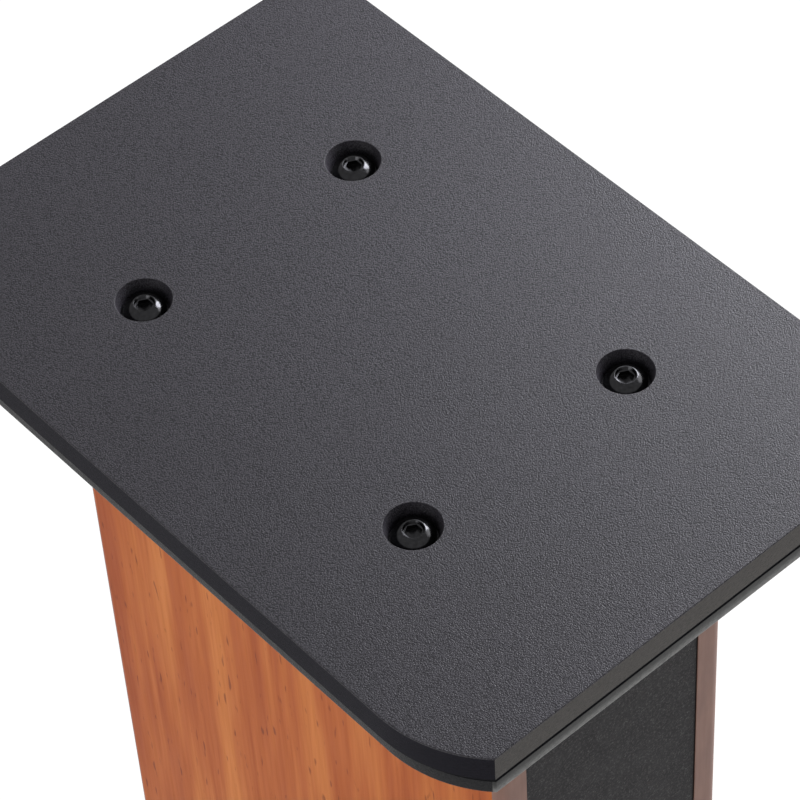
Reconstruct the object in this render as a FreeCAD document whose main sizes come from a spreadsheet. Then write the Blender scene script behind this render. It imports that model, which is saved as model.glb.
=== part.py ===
import FreeCAD, Part
import math
import os
import re
import Sketcher
from FreeCAD import Vector

# A speaker stand: a head plate and a base plate, each a board with a textured film on a steel plate,
# joined by a hollow column of two wood side panels with a black panel between them at the front and
# the rear. It stands on four adjustable spikes. +Z is up, -Y is the front, and the origin is on the
# floor under the middle of the stand. All lengths are in millimetres, angles in degrees.

SIZES = [
    # head: board, film and steel plate
    ("head_width", 200, "outline of the head board, side to side"),
    ("head_depth", 291.5, "outline of the head board, front to rear"),
    ("head_board_height", 11, "thickness of the head board without its film"),
    ("head_steel_height", 7, "thickness of the steel plate under the head board"),
    # base: the same layers, larger
    ("base_width", 260, "outline of the base board, side to side"),
    ("base_depth", 350, "outline of the base board, front to rear"),
    ("base_board_height", 17.5, "thickness of the base board without its film"),
    ("base_steel_height", 7, "thickness of the steel plate under the base board"),
    # edges that head and base share
    ("film_height", 0.5, "thickness of the textured film"),
    ("corner_radius", 50, "radius of the arcs at the two front corners"),
    ("corner_turn", 44, "angle through which a front corner arc turns before it meets the front edge"),
    ("rear_corner_radius", 5, "radius of the two rear corners"),
    ("steel_inset", 1.6, "how far the steel plate stays inside the board's outline"),
    ("steel_forward", 1.2, "how far forward of its board the head's steel plate is fixed"),
    ("board_low_round", 1.2, "rounding of the lower edge of a board"),
    ("steel_top_round", 1, "rounding of a steel plate's upper edge"),
    ("steel_low_round", 1.2, "rounding of a steel plate's lower edge"),
    # head bolts
    ("bolt_spacing_x", 90, "head bolts, side to side"),
    ("bolt_spacing_y", 130, "head bolts, front to rear"),
    ("bolt_shank", 8, "diameter of a head bolt"),
    ("bolt_head", 14.2, "diameter of a button head"),
    ("bolt_head_height", 4.4, "height of a button head"),
    ("bolt_head_rim", 0.7, "upright rim of a button head"),
    ("bolt_dome_radius", 8.2, "radius of a button head's dome in section"),
    ("bolt_crown", 7.3, "flat and socket countersink at the top of a button head"),
    ("bolt_socket", 5, "hexagon socket across flats"),
    ("bolt_socket_depth", 2.8, "depth of the hexagon socket"),
    ("bolt_length", 12, "length of a head bolt under its head"),
    ("recess_rim", 18.7, "diameter of a bolt recess at the film's surface"),
    ("recess_floor", 15.3, "diameter of a bolt recess at its floor"),
    ("recess_sink", 1.6, "depth of the top of a bolt head under the film's surface"),
    ("bolt_hole", 9, "clearance hole in a board or block for a bolt or a stud"),
    ("thread_clearance", 0.05, "radial clearance between a threaded piece and its hole"),
    # column
    ("column_height", 572, "height of the column between the plates"),
    ("column_depth", 216, "depth of the side panels"),
    ("column_setback", 2, "how far the column's middle lies behind the head's middle"),
    ("side_panel_thickness", 12, "thickness of a side panel"),
    ("side_edge_radius", 5, "rounding of a side panel's outer upright edges"),
    ("infill_width", 77, "width of the front and rear panels, between the side panels"),
    ("infill_thickness", 12, "thickness of the front and rear panels"),
    ("infill_recess", 0.6, "how far the front and rear panels lie behind the side panels' edges"),
    ("block_height", 40, "height of the blocks that close the column's ends"),
    ("brace_thickness", 12, "thickness of the brace at half height"),
    ("brace_hole", 50, "cable opening in the brace"),
    # dowels between the blocks and the side panels
    ("dowel_diameter", 8, "diameter of a dowel"),
    ("dowel_length", 30, "length of a dowel"),
    ("dowel_in_panel", 8, "depth of a dowel in the side panel"),
    ("dowel_end_gap", 1, "free space at a dowel's inner end"),
    ("dowel_chamfer", 1, "chamfer on a dowel's ends"),
    ("dowel_spacing", 84, "dowels of one side, front to rear"),
    # screws that hold the head's steel plate on the top block
    ("screw_spacing_x", 46, "screws, side to side"),
    ("screw_spacing_y", 150, "screws, front to rear"),
    ("screw_shank", 6, "diameter of a screw"),
    ("screw_head", 12, "diameter of a countersunk screw head"),
    ("screw_length", 35, "length of a screw with its head"),
    ("screw_socket", 4, "hexagon socket of a countersunk screw across flats"),
    ("screw_socket_depth", 2, "depth of a countersunk screw's socket"),
    ("plate_hole_clearance", 0.25, "radial clearance round a countersunk screw or bolt in a steel plate"),
    # base bolts and their inserts in the bottom block
    ("base_bolt_spacing_x", 46, "base bolts, side to side"),
    ("base_bolt_spacing_y", 130, "base bolts, front to rear"),
    ("base_bolt_shank", 8, "diameter of a base bolt"),
    ("base_bolt_head", 16, "diameter of a countersunk base bolt head"),
    ("base_bolt_length", 50, "length of a base bolt with its head"),
    ("bolt_end_gap", 2, "free space past the end of a base bolt or its insert"),
    ("base_bolt_socket", 5, "hexagon socket of a base bolt across flats"),
    ("base_bolt_socket_depth", 2.5, "depth of a base bolt's socket"),
    ("insert_diameter", 12, "outer diameter of a threaded insert"),
    ("insert_length", 22, "length of a threaded insert"),
    ("insert_flange", 16, "diameter of an insert's flange"),
    ("insert_flange_height", 1.5, "thickness of an insert's flange"),
    # cable holes and grommets in the rear panel
    ("cable_hole", 36, "diameter of a cable hole"),
    ("cable_bore", 29, "diameter of a grommet's bore"),
    ("grommet_flange", 46, "diameter of a grommet's outer flange"),
    ("grommet_flange_height", 2.5, "thickness of a grommet's outer flange"),
    ("grommet_lip", 40, "diameter of a grommet's inner lip"),
    ("grommet_lip_height", 3, "thickness of a grommet's inner lip"),
    ("grommet_rim", 0.8, "upright edge of a grommet's flange, bore and lip"),
    ("grommet_bore_bevel", 1.2, "width of the bevel round a grommet's bore"),
    ("upper_hole_drop", 95, "middle of the upper cable hole under the column's top"),
    ("lower_hole_rise", 95, "middle of the lower cable hole above the column's foot"),
    # feet, from the floor up
    ("foot_inset", 30, "distance of a foot's axis from the base board's sides"),
    ("pad_height", 1.5, "thickness of the felt pad"),
    ("pad_diameter", 23, "diameter of the felt pad"),
    ("disc_height", 6, "thickness of a floor disc"),
    ("disc_diameter", 26, "diameter of a floor disc"),
    ("disc_chamfer", 1.2, "chamfer on a floor disc's upper edge"),
    ("dimple_mouth", 9, "diameter of the dimple in a floor disc"),
    ("dimple_floor", 3, "diameter of the dimple's floor"),
    ("dimple_depth", 3, "depth of the dimple"),
    ("tip_clearance", 0.2, "gap between a spike's tip and the dimple's floor"),
    ("tip_diameter", 1.6, "diameter of the blunt end of a spike"),
    ("cone_height", 13, "height of a spike's cone"),
    ("cone_diameter", 11, "diameter of a spike's cone at its top"),
    ("grip_height", 5, "height of a spike's fluted grip"),
    ("grip_diameter", 17, "diameter of a spike's fluted grip"),
    ("grip_chamfer", 0.6, "chamfer on a grip's edges"),
    ("flute_diameter", 3, "diameter of a flute in the grip"),
    ("flute_offset", 0.75, "distance of a flute's axis outside the grip's edge"),
    ("flute_count", 12, "number of flutes round the grip"),
    ("nut_travel", 2.5, "how far a lock nut can be backed off"),
    ("nut_spare", 1, "gap between a backed-off lock nut and the grip"),
    ("nut_height", 6.5, "height of a lock nut"),
    ("nut_flats", 13, "lock nut across flats"),
    ("bevel_overrun", 1, "how far the cut for a lock nut's bevel runs past its corners"),
    ("washer_height", 1.6, "thickness of a washer"),
    ("washer_diameter", 16, "outer diameter of a washer"),
    ("washer_clearance", 0.2, "radial clearance between a washer and the spike"),
    ("stud_diameter", 8, "diameter of a spike's stud"),
    ("foot_travel", 8, "how far a spike can be screwed out"),
    ("stud_hold", 3, "length of stud left above the steel plate when the spike is screwed out"),
    ("stud_end_gap", 2, "free space above a spike's stud"),
    ("stud_chamfer", 1, "chamfer on the end of a spike's stud, a bolt or a screw"),
]
NAMES = [alias for alias, value, note in SIZES]

doc = FreeCAD.newDocument("speaker_stand")
sheet = doc.addObject("Spreadsheet::Sheet", "sizes")
for row, (alias, value, note) in enumerate(SIZES, start=1):
    sheet.set("A%d" % row, alias)
    sheet.set("B%d" % row, str(value))
    sheet.set("C%d" % row, note)
    sheet.setAlias("B%d" % row, alias)
doc.recompute()


# ---------------------------------------------------------------- formulas

def cells(formula):
    """The formula with each size's name written as a cell of the sheet."""
    return re.sub(r"[a-z_]+", lambda word: "sizes." + word.group() if word.group() in NAMES
                  else word.group(), formula)


def number(formula):
    """The formula's value now, for the first shape of a sketch and for what is laid out by count."""
    return float(sheet.evalExpression(cells(formula)))


# Heights above the floor
DISC_LOW = "pad_height"
TIP = "(pad_height + disc_height - dimple_depth + tip_clearance)"
GRIP_LOW = "(%s + cone_height)" % TIP
GRIP_TOP = "(%s + grip_height)" % GRIP_LOW
NUT_LOW = "(%s + nut_spare + nut_travel)" % GRIP_TOP
WASHER_LOW = "(%s + nut_height)" % NUT_LOW
BASE_LOW = "(%s + washer_height)" % WASHER_LOW
BASE_BOARD_LOW = "(%s + base_steel_height)" % BASE_LOW
BASE_FILM_LOW = "(%s + base_board_height)" % BASE_BOARD_LOW
COLUMN_LOW = "(%s + film_height)" % BASE_FILM_LOW
COLUMN_TOP = "(%s + column_height)" % COLUMN_LOW
HEAD_BOARD_LOW = "(%s + head_steel_height)" % COLUMN_TOP
HEAD_FILM_LOW = "(%s + head_board_height)" % HEAD_BOARD_LOW

# Depths inside a piece, and places across the stand
RECESS_DEPTH = "(recess_sink + bolt_head_height - film_height)"
STUD_RADIUS = "(stud_diameter / 2 + thread_clearance)"
STUD_TOP = "(%s + foot_travel + stud_hold)" % BASE_BOARD_LOW
INFILL_FACE = "(column_depth / 2 - infill_recess)"
INSIDE_DEPTH = "(column_depth - 2 * infill_recess - 2 * infill_thickness)"
COLUMN_HALF = "(infill_width / 2 + side_panel_thickness)"
FOOT_X = "(base_width / 2 - foot_inset)"
FOOT_Y = "(base_depth / 2 - foot_inset)"
UPPER_HOLE = "(column_height - upper_hole_drop)"
BOLT_REACH = "(base_bolt_length - base_steel_height - base_board_height - film_height)"
SIGNS = [(-1, -1), (1, -1), (-1, 1), (1, 1)]


# ---------------------------------------------------------------- bodies, sketches and features

SUBPARTS = []


def new_body(label, x="0", y="0", z="0"):
    """A body with its place in the stand."""
    body = doc.addObject("PartDesign::Body", label)
    body.Label = label
    place(body, x, y, z)
    SUBPARTS.append(body)
    return body


def place(piece, x, y, z):
    piece.setExpression("Placement.Base.x", cells(x))
    piece.setExpression("Placement.Base.y", cells(y))
    piece.setExpression("Placement.Base.z", cells(z))


def sketch_on(body, plane, name, x="0", y="0", off="0"):
    """A sketch on one of the body's planes, its origin shifted in the plane and off it."""
    sketch = body.newObject("Sketcher::SketchObject", name)
    origin_plane = [item for item in body.Origin.OriginFeatures if item.Role == plane][0]
    sketch.AttachmentSupport = (origin_plane, [""])
    sketch.MapMode = "FlatFace"
    sketch.setExpression("AttachmentOffset.Base.x", cells(x))
    sketch.setExpression("AttachmentOffset.Base.y", cells(y))
    sketch.setExpression("AttachmentOffset.Base.z", cells(off))
    return sketch


def bind(sketch, kind, name, formula, *where):
    """A dimension of the sketch, bound to a formula of sizes."""
    index = sketch.addConstraint(Sketcher.Constraint(kind, *where, number(formula)))
    sketch.renameConstraint(index, name)
    sketch.setExpression("Constraints." + name, cells(formula))


def add_circle(sketch, name, x, y, diameter):
    centre = Vector(number(x), number(y), 0)
    circle = sketch.addGeometry(Part.Circle(centre, Vector(0, 0, 1), number(diameter) / 2), False)
    bind(sketch, "DistanceX", name + "_x", x, -1, 1, circle, 3)
    bind(sketch, "DistanceY", name + "_y", y, -1, 1, circle, 3)
    bind(sketch, "Diameter", name + "_diameter", diameter, circle)


def add_outline(sketch, name, corners):
    """A closed outline. A corner is (x, y), or (x, y, radius) where an arc leads on to the next corner.

    The arc bulges to the right of the way from one corner to the next.
    """
    points = [Vector(number(corner[0]), number(corner[1]), 0) for corner in corners]
    edges = []
    for index, corner in enumerate(corners):
        start = points[index]
        end = points[(index + 1) % len(points)]
        if len(corner) == 2:
            edge = sketch.addGeometry(Part.LineSegment(start, end), False)
        else:
            edge = sketch.addGeometry(bulging_arc(start, end, number(corner[2])), False)
            bind(sketch, "Radius", "%s_radius_%d" % (name, index), corner[2], edge)
        edges.append(edge)
    for index, corner in enumerate(corners):
        sketch.addConstraint(Sketcher.Constraint("Coincident", edges[index - 1], 2, edges[index], 1))
        bind(sketch, "DistanceX", "%s_x_%d" % (name, index), corner[0], -1, 1, edges[index], 1)
        bind(sketch, "DistanceY", "%s_y_%d" % (name, index), corner[1], -1, 1, edges[index], 1)


def bulging_arc(start, end, radius):
    """The short arc from start to end, anticlockwise, which bulges to the right of the way there."""
    chord = end - start
    middle = (start + end) * 0.5
    left = Vector(-chord.y, chord.x, 0).normalize()
    centre = middle + left * math.sqrt(radius ** 2 - (chord.Length / 2) ** 2)
    first = math.atan2(start.y - centre.y, start.x - centre.x)
    last = math.atan2(end.y - centre.y, end.x - centre.x)
    return Part.ArcOfCircle(Part.Circle(centre, Vector(0, 0, 1), radius), first, last)


def hexagon(flats):
    """The corners of a hexagon with that size across flats."""
    reach = "%s / 2 / cos(30)" % flats
    return [("%s * cos(%d)" % (reach, turn), "%s * sin(%d)" % (reach, turn)) for turn in range(0, 360, 60)]


def pad(body, sketch, height, name):
    feature = body.newObject("PartDesign::Pad", name)
    feature.Profile = sketch
    feature.setExpression("Length", cells(height))
    return feature


def pocket(body, sketch, depth, name, upward=False):
    """Cut from the sketch down into the body, or up into it."""
    feature = body.newObject("PartDesign::Pocket", name)
    feature.Profile = sketch
    feature.Reversed = upward
    feature.setExpression("Length", cells(depth))
    return feature


def turned(body, sketch, name, kind="Revolution"):
    """A revolution or a groove about the sketch's upright axis."""
    feature = body.newObject("PartDesign::" + kind, name)
    feature.Profile = sketch
    feature.ReferenceAxis = (sketch, ["V_Axis"])
    feature.Angle = 360
    return feature


def level_face(feature, height):
    """The name of the feature's largest level face at that height."""
    faces = enumerate(feature.Shape.Faces, start=1)
    level = [(face.Area, index) for index, face in faces
             if face.BoundBox.ZLength < 1e-6 and abs(face.BoundBox.ZMin - height) < 1e-4]
    return "Face%d" % max(level)[1]


def round_edges(body, feature, height, radius, name):
    """Round all edges of the level face at that height."""
    doc.recompute()
    rounded = body.newObject("PartDesign::Fillet", name)
    rounded.Base = (feature, [level_face(feature, number(height))])
    rounded.setExpression("Radius", cells(radius))
    doc.recompute()
    return rounded


def four_holes(body, name, spacing_x, spacing_y, diameter, depth, top):
    """Four round holes cut down from the height top, in a rectangle about the body's origin."""
    sketch = sketch_on(body, "XY_Plane", name + "_places", off=top)
    for index, (side, end) in enumerate(SIGNS):
        add_circle(sketch, "hole_%d" % index, "%d * %s / 2" % (side, spacing_x),
                   "%d * %s / 2" % (end, spacing_y), diameter)
    return pocket(body, sketch, depth, name)


def four_turned_cuts(body, name, spacing_x, spacing_y, height, corners):
    """The same turned cut at four places in a rectangle about the body's origin."""
    for index, (side, end) in enumerate(SIGNS):
        sketch = sketch_on(body, "XZ_Plane", "%s_profile_%d" % (name, index),
                           x="%d * %s / 2" % (side, spacing_x), y=height,
                           off="%d * %s / 2" % (-end, spacing_y))
        add_outline(sketch, "cut", corners)
        turned(body, sketch, "%s_%d" % (name, index), "Groove")


def four_copies(label, master, spacing_x, spacing_y, x="0", y="0", z="0"):
    """Four separate solids like the master, in a rectangle, as one sub-part."""
    doc.recompute()
    solids = []
    for side, end in SIGNS:
        solid = master.Shape.copy()
        shift = Vector(side * number(spacing_x) / 2, end * number(spacing_y) / 2, 0)
        solid.translate(shift)
        solids.append(solid)
    group = doc.addObject("Part::Feature", label)
    group.Label = label
    group.Shape = Part.makeCompound(solids)
    place(group, x, y, z)
    SUBPARTS.append(group)
    return group


def pattern_master(name):
    """A body that is copied into a group and isn't a sub-part itself."""
    return doc.addObject("PartDesign::Body", name)


# ---------------------------------------------------------------- plates

def plate_outline(sketch, width, depth, inset):
    """The outline that the plates share: arcs at the front corners that end before the front edge."""
    half = "(%s / 2 - %s)" % (width, inset)
    rear = "(%s / 2 - %s)" % (depth, inset)
    # the inset arc keeps the board's centre, so it meets the front edge a little further out
    arc = "(corner_radius - %s)" % inset
    centre_y = "(corner_radius * sin(corner_turn) - %s / 2)" % depth
    centre_x = "(%s / 2 - corner_radius)" % width
    reach_y = "(corner_radius * sin(corner_turn) - %s)" % inset
    reach_x = "sqrt(%s ^ 2 - %s ^ 2)" % (arc, reach_y)
    corner_x = "(%s + %s)" % (centre_x, reach_x)
    rear_arc = "(rear_corner_radius - %s)" % inset
    add_outline(sketch, "edge", [
        ("-" + corner_x, "-" + rear),
        (corner_x, "-" + rear, arc),
        (half, centre_y),
        (half, "%s - %s" % (rear, rear_arc), rear_arc),
        ("%s - %s" % (half, rear_arc), rear),
        ("%s - %s" % (rear_arc, half), rear, rear_arc),
        ("-" + half, "%s - %s" % (rear, rear_arc)),
        ("-" + half, centre_y, arc),
    ])


def make_film(label, width, depth, z, recesses):
    film = new_body(label, z=z)
    sketch = sketch_on(film, "XY_Plane", label + "_outline")
    plate_outline(sketch, width, depth, "0")
    pad(film, sketch, "film_height", label + "_sheet")
    if recesses:
        four_holes(film, label + "_holes", "bolt_spacing_x", "bolt_spacing_y", "recess_rim",
                   "film_height", "film_height")
    return film


def make_board(label, width, depth, height, z):
    board = new_body(label, z=z)
    sketch = sketch_on(board, "XY_Plane", label + "_outline")
    plate_outline(sketch, width, depth, "0")
    slab = pad(board, sketch, height, label + "_slab")
    round_edges(board, slab, "0", "board_low_round", label + "_low_round")
    return board


def make_steel_plate(label, width, depth, height, z, forward="0"):
    plate = new_body(label, z=z)
    sketch = sketch_on(plate, "XY_Plane", label + "_outline", y="-" + forward)
    plate_outline(sketch, width, depth, "steel_inset")
    slab = pad(plate, sketch, height, label + "_slab")
    rounded = round_edges(plate, slab, "0", "steel_low_round", label + "_low_round")
    round_edges(plate, rounded, height, "steel_top_round", label + "_top_round")
    return plate


def countersink(head, shank):
    """The cut for a countersunk head that lies flush."""
    drop = "((%s - %s) / 2)" % (head, shank)
    return [("0", "0"), ("%s / 2" % head, "0"), ("%s / 2" % shank, "-" + drop), ("0", "-" + drop)]


def make_head():
    board = make_board("head_board", "head_width", "head_depth", "head_board_height", HEAD_BOARD_LOW)
    # the dished recess for a bolt head narrows from the film's hole down to its floor
    four_turned_cuts(board, "recess", "bolt_spacing_x", "bolt_spacing_y", "head_board_height", [
        ("0", "0"),
        ("0", "-" + RECESS_DEPTH),
        ("recess_floor / 2", "-" + RECESS_DEPTH),
        ("recess_rim / 2", "0"),
    ])
    four_holes(board, "bolt_holes", "bolt_spacing_x", "bolt_spacing_y", "bolt_hole",
               "head_board_height", "head_board_height")
    make_film("head_film", "head_width", "head_depth", HEAD_FILM_LOW, recesses=True)
    steel = make_steel_plate("head_steel_plate", "head_width", "head_depth", "head_steel_height", COLUMN_TOP,
                             forward="steel_forward")
    four_holes(steel, "tapped_holes", "bolt_spacing_x", "bolt_spacing_y",
               "bolt_shank + 2 * thread_clearance", "head_steel_height", "head_steel_height")
    four_holes(steel, "screw_holes", "screw_spacing_x", "screw_spacing_y",
               "screw_shank + 2 * plate_hole_clearance", "head_steel_height", "head_steel_height")
    four_turned_cuts(steel, "countersink", "screw_spacing_x", "screw_spacing_y", "head_steel_height",
                     countersink("screw_head", "screw_shank"))


def make_base():
    board = make_board("base_board", "base_width", "base_depth", "base_board_height", BASE_BOARD_LOW)
    four_holes(board, "bolt_holes_base", "base_bolt_spacing_x", "base_bolt_spacing_y", "bolt_hole",
               "base_board_height", "base_board_height")
    studs = sketch_on(board, "XY_Plane", "stud_places")
    for index, (side, end) in enumerate(SIGNS):
        add_circle(studs, "stud_%d" % index, "%d * %s" % (side, FOOT_X), "%d * %s" % (end, FOOT_Y), "bolt_hole")
    pocket(board, studs, "foot_travel + stud_hold + stud_end_gap", "stud_holes", upward=True)
    film = make_film("base_film", "base_width", "base_depth", BASE_FILM_LOW, recesses=False)
    four_holes(film, "film_bolt_holes", "base_bolt_spacing_x", "base_bolt_spacing_y", "bolt_hole",
               "film_height", "film_height")
    steel = make_steel_plate("base_steel_plate", "base_width", "base_depth", "base_steel_height", BASE_LOW)
    four_holes(steel, "base_bolt_holes", "base_bolt_spacing_x", "base_bolt_spacing_y",
               "base_bolt_shank + 2 * plate_hole_clearance", "base_steel_height", "base_steel_height")
    four_turned_cuts(steel, "base_countersink", "base_bolt_spacing_x", "base_bolt_spacing_y", "0", [
        ("0", "0"),
        ("0", "(base_bolt_head - base_bolt_shank) / 2"),
        ("base_bolt_shank / 2", "(base_bolt_head - base_bolt_shank) / 2"),
        ("base_bolt_head / 2", "0"),
    ])
    studs = sketch_on(steel, "XY_Plane", "tapped_places")
    for index, (side, end) in enumerate(SIGNS):
        add_circle(studs, "stud_%d" % index, "%d * %s" % (side, FOOT_X), "%d * %s" % (end, FOOT_Y),
                   "2 * " + STUD_RADIUS)
    pocket(steel, studs, "base_steel_height", "tapped_stud_holes", upward=True)


# ---------------------------------------------------------------- fasteners

def make_head_bolts():
    bolt = pattern_master("button_head_bolt")
    profile = sketch_on(bolt, "XZ_Plane", "bolt_profile")
    crown = "bolt_crown / 2"
    countersunk = "(bolt_socket / 2 / cos(30))"
    add_outline(profile, "bolt", [
        ("0", "-bolt_length"),
        ("bolt_shank / 2 - stud_chamfer", "-bolt_length"),
        ("bolt_shank / 2", "stud_chamfer - bolt_length"),
        ("bolt_shank / 2", "0"),
        ("bolt_head / 2", "0"),
        ("bolt_head / 2", "bolt_head_rim", "bolt_dome_radius"),
        (crown, "bolt_head_height"),
        (countersunk, "bolt_head_height - (%s - %s)" % (crown, countersunk)),
        ("0", "bolt_head_height - (%s - %s)" % (crown, countersunk)),
    ])
    turned(bolt, profile, "bolt_form")
    socket = sketch_on(bolt, "XY_Plane", "socket_places", off="bolt_head_height")
    add_outline(socket, "hexagon", hexagon("bolt_socket"))
    pocket(bolt, socket, "bolt_socket_depth", "socket")
    seat = "%s - %s" % (HEAD_FILM_LOW, RECESS_DEPTH)
    four_copies("head_bolts", bolt, "bolt_spacing_x", "bolt_spacing_y", z=seat)


def countersunk_profile(sketch, head, shank, length, point):
    """A countersunk screw that hangs from its flush head, with a chamfered or pointed end."""
    add_outline(sketch, "screw", [
        ("0", "0"),
        ("0", "-" + length),
        ("%s / 2 - %s" % (shank, point), "-" + length),
        ("%s / 2" % shank, "%s - %s" % (point, length)),
        ("%s / 2" % shank, "-(%s - %s) / 2" % (head, shank)),
        ("%s / 2" % head, "0"),
    ])


def make_screws():
    screw = pattern_master("countersunk_screw")
    profile = sketch_on(screw, "XZ_Plane", "screw_profile")
    countersunk_profile(profile, "screw_head", "screw_shank", "screw_length", "stud_chamfer")
    turned(screw, profile, "screw_form")
    socket = sketch_on(screw, "XY_Plane", "screw_socket_place")
    add_outline(socket, "hexagon", hexagon("screw_socket"))
    pocket(screw, socket, "screw_socket_depth", "screw_socket_cut")
    four_copies("plate_screws", screw, "screw_spacing_x", "screw_spacing_y", z=HEAD_BOARD_LOW)


def make_base_bolts():
    bolt = pattern_master("countersunk_bolt")
    profile = sketch_on(bolt, "XZ_Plane", "base_bolt_profile")
    add_outline(profile, "bolt", [
        ("0", "0"),
        ("base_bolt_head / 2", "0"),
        ("base_bolt_shank / 2", "(base_bolt_head - base_bolt_shank) / 2"),
        ("base_bolt_shank / 2", "base_bolt_length - stud_chamfer"),
        ("base_bolt_shank / 2 - stud_chamfer", "base_bolt_length"),
        ("0", "base_bolt_length"),
    ])
    turned(bolt, profile, "base_bolt_form")
    socket = sketch_on(bolt, "XY_Plane", "base_socket_place")
    add_outline(socket, "hexagon", hexagon("base_bolt_socket"))
    pocket(bolt, socket, "base_bolt_socket_depth", "base_socket_cut", upward=True)
    four_copies("base_bolts", bolt, "base_bolt_spacing_x", "base_bolt_spacing_y", z=BASE_LOW)


def make_inserts():
    insert = pattern_master("threaded_insert")
    profile = sketch_on(insert, "XZ_Plane", "insert_profile")
    bore = "(base_bolt_shank / 2 + thread_clearance)"
    add_outline(profile, "insert", [
        (bore, "0"),
        ("insert_flange / 2", "0"),
        ("insert_flange / 2", "insert_flange_height"),
        ("insert_diameter / 2", "insert_flange_height"),
        ("insert_diameter / 2", "insert_length"),
        (bore, "insert_length"),
    ])
    turned(insert, profile, "insert_form")
    four_copies("base_inserts", insert, "base_bolt_spacing_x", "base_bolt_spacing_y", z=COLUMN_LOW)


# ---------------------------------------------------------------- column

def make_side_panel(label, side):
    panel = new_body(label, y="column_setback", z=COLUMN_LOW)
    inner = "(%d * infill_width / 2)" % side
    outer = "(%d * %s)" % (side, COLUMN_HALF)
    short = "(%d * (%s - side_edge_radius))" % (side, COLUMN_HALF)
    front = "(-column_depth / 2)"
    rear = "(column_depth / 2)"
    if side > 0:
        corners = [
            (inner, front),
            (short, front, "side_edge_radius"),
            (outer, front + " + side_edge_radius"),
            (outer, rear + " - side_edge_radius", "side_edge_radius"),
            (short, rear),
            (inner, rear),
        ]
    else:
        corners = [
            (inner, rear),
            (short, rear, "side_edge_radius"),
            (outer, rear + " - side_edge_radius"),
            (outer, front + " + side_edge_radius", "side_edge_radius"),
            (short, front),
            (inner, front),
        ]
    sketch = sketch_on(panel, "XY_Plane", label + "_section")
    add_outline(sketch, "edge", corners)
    pad(panel, sketch, "column_height", label + "_board")
    holes = sketch_on(panel, "YZ_Plane", label + "_dowel_places", off=inner)
    for index, (end, level) in enumerate(SIGNS):
        height = "block_height / 2" if level < 0 else "column_height - block_height / 2"
        add_circle(holes, "dowel_%d" % index, "%d * dowel_spacing / 2" % end, height, "dowel_diameter")
    pocket(panel, holes, "dowel_in_panel", label + "_dowel_holes", upward=side > 0)


def make_infill_panel(label, end):
    panel = new_body(label, y="column_setback", z=COLUMN_LOW)
    face = "(%d * %s)" % (end, INFILL_FACE)
    back = "(%d * (%s - infill_thickness))" % (end, INFILL_FACE)
    left = "(-infill_width / 2)"
    right = "(infill_width / 2)"
    near, far = (face, back) if end < 0 else (back, face)
    sketch = sketch_on(panel, "XY_Plane", label + "_section")
    add_outline(sketch, "edge", [(left, near), (right, near), (right, far), (left, far)])
    pad(panel, sketch, "column_height", label + "_board")
    return panel


def make_grommet(label, height):
    """A rubber ring: a flange outside, a sleeve through the panel and a lip behind it."""
    grommet = new_body(label, y="column_setback + " + INFILL_FACE, z="%s + %s" % (COLUMN_LOW, height))
    profile = sketch_on(grommet, "XY_Plane", label + "_profile")
    lip_far = "(-infill_thickness - grommet_lip_height)"
    add_outline(profile, "ring", [
        ("cable_bore / 2", lip_far),
        ("cable_hole / 2", lip_far),
        ("grommet_lip / 2", "-infill_thickness - grommet_rim"),
        ("grommet_lip / 2", "-infill_thickness"),
        ("cable_hole / 2", "-infill_thickness"),
        ("cable_hole / 2", "0"),
        ("grommet_flange / 2", "0"),
        ("grommet_flange / 2", "grommet_rim"),
        ("grommet_flange / 2 - grommet_flange_height", "grommet_flange_height"),
        ("cable_bore / 2 + grommet_bore_bevel", "grommet_flange_height"),
        ("cable_bore / 2", "grommet_rim"),
    ])
    turned(grommet, profile, label + "_ring")


def make_block(label, z, holes):
    block = new_body(label, y="column_setback", z=z)
    sketch = sketch_on(block, "XY_Plane", label + "_section")
    across = "(infill_width / 2)"
    along = "(%s / 2)" % INSIDE_DEPTH
    add_outline(sketch, "edge", [("-" + across, "-" + along), (across, "-" + along), (across, along),
                                 ("-" + across, along)])
    pad(block, sketch, "block_height", label + "_slab")
    reach = "(dowel_length - dowel_in_panel + dowel_end_gap)"
    for side in (-1, 1):
        name = "%s_dowel_places_%s" % (label, "left" if side < 0 else "right")
        dowels = sketch_on(block, "YZ_Plane", name, off="%d * %s" % (side, across))
        for index, end in enumerate((-1, 1)):
            add_circle(dowels, "dowel_%d" % index, "%d * dowel_spacing / 2" % end, "block_height / 2",
                       "dowel_diameter")
        pocket(block, dowels, reach, name.replace("places", "holes"), upward=side < 0)
    holes(block)
    return block


def top_block_holes(block):
    """Pilot holes for the screws of the head's steel plate, whose pattern is about the head's middle."""
    sketch = sketch_on(block, "XY_Plane", "pilot_places", y="-column_setback", off="block_height")
    for index, (side, end) in enumerate(SIGNS):
        add_circle(sketch, "pilot_%d" % index, "%d * screw_spacing_x / 2" % side,
                   "%d * screw_spacing_y / 2" % end, "screw_shank")
    pocket(block, sketch, "screw_length - head_steel_height", "pilot_holes")


def bottom_block_holes(block):
    """Holes for the threaded inserts, with a shallow seat for each flange."""
    for name, diameter, depth in (
            ("insert_seats", "insert_flange", "insert_flange_height"),
            ("insert_holes", "insert_diameter", "insert_length"),
            ("bolt_ends", "bolt_hole", "max(insert_length; %s) + bolt_end_gap" % BOLT_REACH)):
        sketch = sketch_on(block, "XY_Plane", name + "_places", y="-column_setback")
        for index, (side, end) in enumerate(SIGNS):
            add_circle(sketch, "insert_%d" % index, "%d * base_bolt_spacing_x / 2" % side,
                       "%d * base_bolt_spacing_y / 2" % end, diameter)
        pocket(block, sketch, depth, name, upward=True)


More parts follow.
